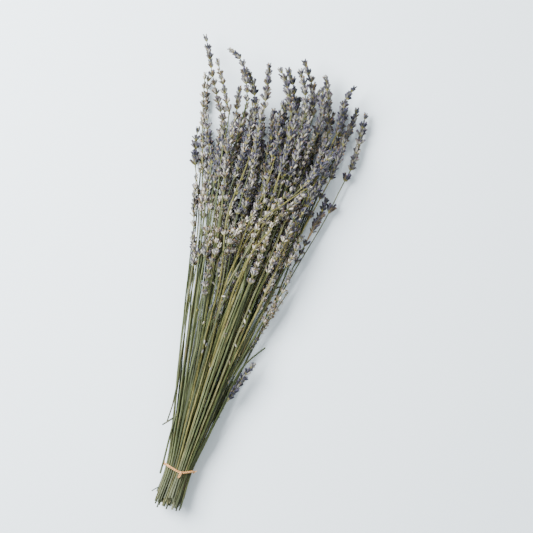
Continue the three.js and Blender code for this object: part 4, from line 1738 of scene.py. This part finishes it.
@dataclass
class TwistedTie:
    """The tie: two strands twisted together round the stems, a small loop and its ends.

    The places of the loop and of the ends are in millimetres beside their roots. The rises
    are those to the left and to the right of the crossing, and the widths are half widths at
    the two ends.
    """

    lines: list[Line]
    neck: np.ndarray
    finish: bpy.types.Material
    sides: int = 8
    strand: float = 0.64 * MM
    strand_steps: int = 240
    twist_points: int = 260
    twist_radius: float = 0.86
    pitch: float = 4.6 * MM
    squeeze: float = 0.95 * MM
    reach_step: Pair = (3 * MM, 1 * MM)
    curl_reach_step: Pair = (0.8 * MM, 0.5 * MM)
    least_step: float = 1e-6
    dip: float = 1.8 * MM
    dip_height: float = 6 * MM
    rises: Pair = (0.2, 0.34)
    crossing: float = -0.4 * MM
    start: float = 2.0
    ways: int = 361
    upper_side: float = 3 * MM
    knot_lift: Place = (0, 0, 0.9 * MM)
    loop: tuple[Place, ...] = (
        (0.3, 0.8, 0.2), (0.7, -1.4, 1.0), (0.3, -3.6, 0.6), (-0.7, -5.6, 0.1),
        (-1.3, -4.8, 0.3), (-0.8, -2.2, 0.8), (-0.2, 0.6, 0.3),
    )
    loop_steps: int = 40
    loop_widths: Pair = (0.5 * MM, 0.5 * MM)
    left_end: tuple[Place, ...] = ((0, 0, 0), (-1.0, 1.4, 0.5), (-1.2, 3.4, 0.9))
    left_widths: Pair = (0.6 * MM, 0.2 * MM)
    right_end: tuple[Place, ...] = ((0, 0, 0), (1.4, 0.5, 0.4), (2.6, 1.6, 0.6))
    right_widths: Pair = (0.6 * MM, 0.4 * MM)
    end_steps: int = 12

    def outline(self) -> np.ndarray:
        """Finds the way of a cord that is drawn tight round the stems.

        Returns:
            The x and z of its places, one row each.
        """
        spots = []
        for line in self.lines:
            reach = np.interp(self.neck[1], line.points[:, 1], line.distances)
            spots.append(line.at(reach)[0][[0, 2]])
        spots = np.array(spots)
        angles = self.start + np.linspace(0, 2 * math.pi, self.ways)
        ways = np.column_stack([np.cos(angles), np.sin(angles)])
        hull = spots[np.argmax(spots @ ways.T, axis=0)]
        return hull + ways * (self.squeeze + 2 * self.strand)

    def route(self) -> Line:
        """Makes the tie's middle line, with its dip on the upper side.

        Returns:
            The line.
        """
        outline = self.outline()
        high = np.clip((outline[:, 1] - self.neck[2]) / self.dip_height, 0, 1)
        beside = outline[:, 0] - self.neck[0] - self.crossing
        arm = np.abs(beside) * np.where(beside < 0, *self.rises) - self.dip
        points = np.column_stack([outline[:, 0], self.neck[1] + high * arm, outline[:, 1]])
        steps = np.linalg.norm(np.diff(points, axis=0), axis=1)
        keep = np.concatenate([[True], steps > self.least_step])
        return Line(points[keep], (0.0, 1.0, 0.0)).softened(*self.reach_step)

    def _strand(self, points: np.ndarray, steps: int, widths: Pair) -> Piece:
        """Lays one strand along points.

        Args:
            points: The points.
            steps: Lengths that it is divided into.
            widths: Its half width at either end.

        Returns:
            The strand.
        """
        strand = straight_model("strand", self.sides, steps, 1.0)
        bend(strand, Line(points, (0.0, 1.0, 0.0)), widths)
        strand.data.materials.append(self.finish)
        return strand

    def _curl(self, root: np.ndarray, shape: tuple[Place, ...]) -> np.ndarray:
        """Finds the points of a soft line from a root through places beside it."""
        line = Line(root + np.array(shape) * MM, (0.3, 0.2, 1.0))
        return line.softened(*self.curl_reach_step).points

    def build(self) -> Piece:
        """Builds the tie as one piece.

        Returns:
            The piece, which replaces the tie's node.
        """
        route = self.route()
        spots = np.linspace(0, route.length, self.twist_points)
        centre, _, side, up = route.frames(spots)
        parts = []
        for start in (0, math.pi):
            phase = 2 * math.pi * spots / self.pitch + start
            offset = side * np.cos(phase)[:, None] + up * np.sin(phase)[:, None]
            points = centre + offset * self.strand * self.twist_radius
            parts.append(self._strand(points, self.strand_steps, (self.strand, self.strand)))
        upper = centre[centre[:, 2] > self.neck[2] + self.upper_side]
        away = np.abs(upper[:, 0] - self.neck[0] - self.crossing)
        knot = upper[np.argmin(away)] + np.array(self.knot_lift)
        left, right = upper[np.argmin(upper[:, 0])], upper[np.argmax(upper[:, 0])]
        for root, shape, steps, widths in (
            (knot, self.loop, self.loop_steps, self.loop_widths),
            (left, self.left_end, self.end_steps, self.left_widths),
            (right, self.right_end, self.end_steps, self.right_widths),
        ):
            parts.append(self._strand(self._curl(root, shape), steps, widths))
        piece = join(parts, "twisted_tie")
        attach(piece, BODY)
        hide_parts("tie_band")
        return piece


@dataclass(frozen=True)
class Sprig:
    """A stalk or a bit of one that the plain model leaves out, by the pixels it is seen at.

    Its heights and half widths are in millimetres: heights above the pile of stalks for one
    that lies over it, and above the floor for one that lies under it. A sprig in flower has
    whorls on its last run.
    """

    pixels: tuple[Spot, ...]
    heights: Values
    widths: Pair
    paleness: float
    over: bool = True
    flowers: bool = False
    girth: float = 1.0


TWIGS = (
    Sprig(((176.6, 386), (172.5, 405), (166.4, 423)), (0.3, 0.6, 1.2), (0.85, 0.7), 0.2),
    Sprig(((176.5, 415.5), (169, 421), (162, 425.2)), (0.3, 1.4, 1.8), (0.95, 0.8), 0.25),
    Sprig(
        ((176, 414), (168.6, 440), (164, 459), (159.6, 474.4)),
        (-0.5, 0.4, 0.6, 0.2), (1.0, 1.05), 0.4,
    ),
    Sprig(((161, 486.6), (156, 489), (151, 492.2)), (0.0, 0.5, 0.4), (0.7, 0.6), 0.2),
)
STRAWS = (
    Sprig(
        ((216, 322), (222, 298), (229, 274), (240, 252), (251.5, 231), (266.7, 216),
         (288, 201.5), (306.5, 189.5)),
        (-2.5, 0.8, 3.6, 5.6, 6.4, 6.0, 4.6, 2.4), (0.75, 0.55), 1.0,
    ),
    Sprig(
        ((222, 330), (233, 291.5), (245.3, 265), (253.5, 249.6), (261.6, 240.4), (272, 229)),
        (-2.5, 1.6, 4.2, 5.8, 6.0, 3.4), (0.85, 0.65), 1.0,
    ),
    Sprig(
        ((226, 300), (238, 252), (250.4, 220), (261.6, 199.6), (268.8, 181), (275, 158)),
        (-2.5, 2.0, 5.2, 5.6, 5.2, 2.0), (0.7, 0.55), 0.85,
    ),
)
UNDER_STEMS = tuple(
    Sprig(pixels, (11, 7, 5, 4, 4.5), (0.95, 0.7), paleness, over=False)
    for pixels, paleness in (
        (((172, 445), (181, 380), (188.5, 320), (192.8, 270), (195, 240)), 0.3),
        (((173, 445), (183, 380), (191.5, 320), (196.5, 270), (199, 240)), 0.5),
        (((174, 445), (185.5, 380), (195, 320), (200.5, 270), (203.5, 240)), 0.2),
        (((176, 445), (188, 380), (198.5, 320), (205, 270), (208, 240)), 0.4),
        (((178, 445), (191, 380), (202.5, 320), (209.5, 270), (213, 240)), 0.3),
        (((179, 445), (194, 380), (207, 320), (215, 270), (219, 240)), 0.5),
        (((181, 445), (197, 380), (211.5, 320), (221, 270), (226, 240)), 0.2),
        (((183, 445), (200, 380), (216, 320), (227, 270), (233, 240)), 0.4),
        (((186, 443), (204, 380), (221.5, 320), (234, 270), (241, 240)), 0.3),
        (((189, 442), (208, 380), (227, 322), (242, 275), (250, 248)), 0.5),
        (((191, 441), (211, 384), (231, 335), (249, 290), (259, 262)), 0.2),
        (((194, 440), (212, 395), (231, 352), (253, 305), (271, 265)), 0.3),
        (((195, 440), (215, 392), (235, 348), (257, 301), (276, 262)), 0.5),
        (((196, 440), (218, 390), (239, 344), (262, 297), (282, 258)), 0.2),
        (((195, 446), (210, 418), (225, 388), (243, 355), (262, 315)), 0.4),
        (((194, 450), (208, 424), (221, 397), (238, 364), (256, 326)), 0.2),
    )
)
EDGE_SPIKES = (
    Sprig(
        ((192, 458), (213, 421), (230, 389)),
        (10, 9, 8), (0.8, 0.7), 0.3, over=False, flowers=True, girth=0.9,
    ),
    Sprig(
        ((234, 376), (250, 349), (285, 297)),
        (0.5, 0.8, 1.0), (0.7, 0.6), 0.7, flowers=True, girth=0.72,
    ),
)
UNDER_SPIKES = tuple(
    Sprig(pixels, (13, 9, 7), (0.8, 0.7), 0.4, over=False, flowers=True)
    for pixels in (
        ((250, 215), (260, 170), (263, 120)),
        ((246, 205), (250, 165), (254, 112)),
        ((262, 205), (275, 165), (272, 118)),
        ((270, 210), (284, 165), (285, 112)),
        ((285, 205), (298, 165), (304, 108)),
        ((292, 205), (308, 170), (318, 122)),
        ((300, 205), (321, 172), (331, 124)),
        ((228, 210), (238, 168), (238, 118)),
        ((215, 205), (224, 165), (223, 124)),
        ((305, 205), (332, 172), (345, 136)),
        ((232, 225), (222, 190), (213, 150)),
        ((262, 230), (290, 200), (318, 172)),
        ((208, 292), (218, 262), (226, 216)),
        ((216, 294), (228, 262), (238, 218)),
        ((224, 292), (239, 258), (252, 220)),
    )
)


@dataclass
class Trimmings:
    """What the plain model leaves out: more stalks, twigs, lodged buds, leaves, leaf scars.

    The pixels say where the photo shows the lodged buds, the leaves and the lone whorls.
    Leans and turns are in radians, apart from the lodged buds' lean, which is in degrees.
    """

    lines: list[Line]
    photo: PhotoMap
    grower: SpikeGrower
    pile: list[Line]
    dice: Dice
    seat_reach: float = 2.4 * MM
    sprig_corner: float = 12 * MM
    twig_corner: float = 4 * MM
    twig_points: int = 3
    spike_corner: float = 10 * MM
    sprig_steps: int = 24
    sprig_turn: float = 0.4
    fewest_rings: int = 3
    ring_pitch: float = 8 * MM
    lodged_lift: float = 0.5
    lodged_turn: Pair = (0, 0.5)
    lodged_lean: Pair = (-98, -74)
    lodged_centre: Place = (0, 0, -2.5 * MM)
    lodged_sizes: Pair = (0.66, 0.9)
    lodged_tint: Pair = (0.4, 0.9)
    lodged_dryness: Pair = (0.6, 1.0)
    lodged: tuple[Spot, ...] = (
        (212, 306), (211, 308), (226, 333), (225, 335), (205, 341), (207, 344), (203, 351),
        (230, 362), (210, 364), (211, 368), (229, 381), (241, 330), (243, 326), (245, 321),
        (248, 316), (250, 311), (224, 296), (214, 283), (199, 318), (204, 322), (236, 345),
    )
    leaf_root: Place = (0.6 * MM, 0, 0)
    leaf_lean: Pair = (0.1, 0.24)
    leaf_width_length: Pair = (0.7, 4.0)
    leaf_shade: float = 0.9
    leaves: Spot = (307, 242)
    scars: int = 46
    scar_share: Pair = (0.25, 0.85)
    scar_size: Pair = (0.34, 0.5)
    scar_stretch: float = 1.3
    lone_whorls: tuple[Spot, ...] = ((344, 181), (328, 212))
    lone_size: float = 1.1
    lone_shift: Values = (0.4, 0.1, 0.0)

    def seat(self, pixel: Spot, lift: float) -> np.ndarray:
        """Finds the top of the pile of stalks at a pixel.

        Args:
            pixel: The pixel.
            lift: How far above the pile the answer lies, in millimetres.

        Returns:
            The place over the highest stalk near there, or else over the closest stalk.
        """
        spot = self.photo.place(pixel)
        near = []
        for line in self.pile:
            away, k = line.nearest(spot)
            near.append((away, line.points[k][2]))
        close = [height for away, height in near if away < self.seat_reach] or [min(near)[1]]
        return np.array([*spot, max(close) + lift * MM])

    def nearest_stem(self, pixel: Spot) -> tuple[Line, float]:
        """Finds the stem that runs closest to a pixel.

        Args:
            pixel: The pixel.

        Returns:
            The stem's line, and how far along it the closest point is.
        """
        spot = self.photo.place(pixel)
        stem = min(self.lines, key=lambda line: line.nearest(spot))
        return stem, float(stem.distances[stem.nearest(spot)[1]])

    def build_sprig(self, sprig: Sprig) -> list[Piece]:
        """Lays one sprig where the photo shows it.

        Args:
            sprig: The sprig.

        Returns:
            Its bare part, and its spike's axis and whorls if it is in flower.
        """
        points = []
        for pixel, height in zip(sprig.pixels, sprig.heights):
            if sprig.over:
                points.append(self.seat(pixel, height))
            else:
                points.append(np.array([*self.photo.place(pixel), height * MM]))
        stalk = Stalk(np.array(points), paleness=sprig.paleness, girth=sprig.girth)
        parts = []
        if sprig.flowers:
            line = Line(stalk.stem).softened(self.spike_corner)
            start = Line(stalk.stem[-2:]).length
            whorls = max(self.fewest_rings, round(start / self.ring_pitch))
            stalk.rings = line.at(line.length - np.linspace(start, 0, whorls + 1))
            self.grower.colours.dress(stalk)
            parts = self.grower.spike(stalk.rings, stalk)
            line = Line(line.at(np.linspace(0, line.length - start, self.sprig_steps)))
        else:
            short = len(points) <= self.twig_points
            line = Line(stalk.stem).softened(self.twig_corner if short else self.sprig_corner)
        widths = tuple(width * MM for width in sprig.widths)
        bare = lay_rod(
            self.grower.rod, "sprig", line, widths, sprig.paleness, self.dice, turn=self.sprig_turn
        )
        return [bare, *parts]

    def build_lodged(self, pixel: Spot) -> Piece:
        """Lays one fallen bud between the stems.

        Args:
            pixel: The pixel that it is seen at.

        Returns:
            The bud.
        """
        models = self.grower.models
        stand = (
            moved(*self.seat(pixel, self.lodged_lift))
            @ turned(self.dice.normal(*self.lodged_turn), "Z")
            @ turned(math.radians(self.dice.uniform(*self.lodged_lean)), "X")
            @ moved(*self.lodged_centre)
            @ scaled(self.dice.uniform(*self.lodged_sizes))
        )
        bud = models.placed(models.bud, stand)
        mark(bud.data, "tint", self.dice.uniform(*self.lodged_tint))
        mark(bud.data, "dry", self.dice.uniform(*self.lodged_dryness))
        return bud

    def leaf_pair(self, line: Line, distance: float, width: float, length: float) -> list[Piece]:
        """Sets two leaves on opposite sides of a stem, pressed up along it.

        Args:
            line: The stem's line.
            distance: How far along it they grow.
            width: Their width, as a share of a bract's.
            length: Their length, as a share of a bract's.

        Returns:
            The two leaves.
        """
        spin = self.dice.uniform(0, math.pi)
        pair = []
        for half in (0, math.pi):
            stand = (
                line.stand(distance)
                @ turned(spin + half, "Z")
                @ moved(*self.leaf_root)
                @ turned(self.dice.uniform(*self.leaf_lean), "Y")
                @ turned(math.pi / 2, "Z")
                @ Matrix.Diagonal((width, width, length, 1))
            )
            pair.append(self.grower.models.placed(self.grower.models.bract, stand))
        return pair

    def build(self) -> Piece:
        """Builds all trimmings as one piece.

        Returns:
            The piece, which rides the bunch and replaces no node.
        """
        parts = []
        for sprig in (*TWIGS, *STRAWS, *UNDER_STEMS, *EDGE_SPIKES, *UNDER_SPIKES):
            parts += self.build_sprig(sprig)
        parts += [self.build_lodged(pixel) for pixel in self.lodged]
        for _ in range(self.scars):
            line = self.lines[int(self.dice.integers(len(self.lines)))]
            distance = line.length * self.dice.uniform(*self.scar_share)
            size = self.dice.uniform(*self.scar_size)
            parts += self.leaf_pair(line, distance, size, self.scar_stretch * size)
        leaves = self.leaf_pair(*self.nearest_stem(self.leaves), *self.leaf_width_length)
        for leaf in leaves:
            mark(leaf.data, "shade", self.leaf_shade)
        parts += leaves
        for pixel in self.lone_whorls:
            line, distance = self.nearest_stem(pixel)
            stalk, spin = Stalk(line.points, shift=self.lone_shift), self.dice.uniform(0, math.pi)
            whorl = self.grower.whorl_on(stalk, line, distance, Habit.FULL, self.lone_size, spin)
            parts.append(whorl)
        piece = join(parts, "clinging_bits")
        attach(piece, BODY)
        return piece


@dataclass(frozen=True)
class Lamp:
    """A square soft light, aimed at the middle of the bunch.

    Its way is an angle from the image's right and a height, in degrees. Its distance and the
    length of its side are in metres, and its power is in watts.
    """

    name: str
    way: Pair
    away: float
    side: float
    power: float


@dataclass
class Studio:
    """The pale floor, the soft light and the camera that looks straight down."""

    photo: PhotoMap
    distance: float = 1.6
    focus_height: float = 22 * MM
    floor_side: float = 6.0
    air: Colour = (0.955, 0.98, 1.0, 1)
    air_strength: float = 0.8
    lamps: tuple[Lamp, ...] = (
        Lamp("key", (146, 50), 1.35, 0.9, 74),
        Lamp("fill", (20, 50), 1.8, 1.6, 5),
    )

    def build(self) -> None:
        """Makes the floor, the camera and the lights."""
        floor = primitive("floor", bpy.ops.mesh.primitive_plane_add, size=self.floor_side)
        floor.data.materials.append(PALE_FLOOR.build())
        middle = self.photo.place((self.photo.side / 2, self.photo.side / 2))
        camera = bpy.data.cameras.new("camera")
        camera.lens = camera.sensor_width * self.distance / (self.photo.side * self.photo.pixel)
        view = bpy.data.objects.new("camera", camera)
        view.location = (*middle, self.distance + self.focus_height)
        view.rotation_euler = (0, 0, self.photo.roll)
        bpy.context.scene.collection.objects.link(view)
        bpy.context.scene.camera = view
        for lamp in self.lamps:
            self.light(lamp)
        world = bpy.data.worlds.new("pale_room")
        world.use_nodes = True
        background = world.node_tree.nodes["Background"]
        background.inputs["Color"].default_value = self.air
        background.inputs["Strength"].default_value = self.air_strength
        bpy.context.scene.world = world

    def light(self, lamp: Lamp) -> None:
        """Adds a light.

        Args:
            lamp: The light's place, size and power.
        """
        turn, height = math.radians(lamp.way[0]) + self.photo.roll, math.radians(lamp.way[1])
        aim = Vector(
            (math.cos(turn) * math.cos(height), math.sin(turn) * math.cos(height), math.sin(height))
        )
        light = bpy.data.lights.new(lamp.name, "AREA")
        light.size = lamp.side
        light.energy = lamp.power
        stand = bpy.data.objects.new(lamp.name, light)
        stand.location = aim * lamp.away
        stand.rotation_euler = aim.to_track_quat("Z", "Y").to_euler()
        bpy.context.scene.collection.objects.link(stand)


@dataclass
class Bunch:
    """The whole bunch, built from the frame's stalks."""

    nodes: dict[str, Piece]
    record: dict
    dice: Dice = field(default_factory=lambda: np.random.default_rng(SEED))
    rod_sides: int = 8
    rod_groove: float = 0.74
    rod_steps: int = 46
    twig_steps: int = 14
    cut_rim: float = 0.2
    ridge_reach: float = 0.8

    def __post_init__(self) -> None:
        """Reads the stalks and chooses their colours."""
        reader = FrameReader(self.nodes)
        self.stalks = reader.stalks()
        cells = np.array([stalk.stem[1] for stalk in self.stalks])
        height = (cells[:, 2].min() + cells[:, 2].max()) / 2
        self.neck = np.array(
            [cells[:, 0].mean(), (reader.neck_low + reader.neck_high) / 2, height]
        )
        self.photo = PhotoMap(tuple(self.neck[:2]))
        self.colours = ColourMap(self.photo, self.dice)
        for stalk in self.stalks:
            self.colours.dress(stalk)

    def build(self) -> None:
        """Builds the pieces in order and reports each."""
        looks = {
            "stem": StemFinish(), "cut": CUT_END, "bud": BudFinish(),
            "petal": PetalFinish(), "bract": BractFinish(), "tie": TAN_RUBBER,
        }
        finishes = {name: look.build() for name, look in looks.items()}
        rod = self.cut_rod("rod", self.rod_steps, finishes)
        twig = self.cut_rod("twig", self.twig_steps, finishes)
        models = FlowerModels(self.dice, finishes)
        models.build()
        stems = StemBundle(self.stalks, rod, self.dice, neck=self.neck)
        self.report(stems.build())
        self.report(TwistedTie(stems.lines, self.neck, finishes["tie"]).build())
        grower = SpikeGrower(models, twig, self.colours, self.dice)
        spikes = [Line(stalk.rings) for stalk in self.stalks if stalk.rings is not None]
        pile = stems.lines + [spike.softened(MM) for spike in spikes]
        self.report(Trimmings(stems.lines, self.photo, grower, pile, self.dice).build())
        slots = {s["node"]: s["material_slot"] for s in self.record["subparts"]}
        pairs = list(zip(self.stalks, stems.lines))
        for node in sorted(n for n in self.nodes if n.startswith("flower")):
            own = [pair for pair in pairs if pair[0].node == node]
            self.report(FlowerSpikes(node, own, grower, self.dice, self.photo).build(slots[node]))

    def cut_rod(self, name: str, steps: int, finishes: dict[str, bpy.types.Material]) -> Piece:
        """Models a grooved rod with a pale cut end at y 0, off the scene.

        Args:
            name: The rod's name.
            steps: Lengths that it is divided into.
            finishes: The finishes by their names.

        Returns:
            The rod.
        """
        rod = straight_model(name, self.rod_sides, steps, self.rod_groove)
        rod.data.materials.append(finishes["stem"])
        rod.data.materials.append(finishes["cut"])
        with editing(rod):
            pick(rod, lambda p: p.y < 0.5 / steps)
            bpy.ops.mesh.select_mode(type="FACE")
            bpy.ops.mesh.inset(thickness=self.cut_rim)
            rod.active_material_index = 1
            bpy.ops.object.material_slot_assign()
        reach = np.abs(places_of(rod.data)[:, (0, 2)]).max(axis=1)
        # The rib mark tells the ridges, which the stem finish leaves pale, from the hollows, which
        # it darkens with painted shade.
        mark(rod.data, "rib", reach > self.ridge_reach)
        return shelve(rod)

    @staticmethod
    def report(piece: Piece) -> None:
        """Logs a piece's name and its number of triangles."""
        piece.data.calc_loop_triangles()
        log.info("%s: %d triangles", piece.name, len(piece.data.loop_triangles))


def main() -> None:
    """Loads the frame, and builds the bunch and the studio."""
    logging.basicConfig(level=logging.INFO, format="%(message)s")
    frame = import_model()
    bunch = Bunch(frame["nodes"], frame["record"])
    bunch.build()
    Studio(bunch.photo).build()


if __name__ == "__main__":
    main()
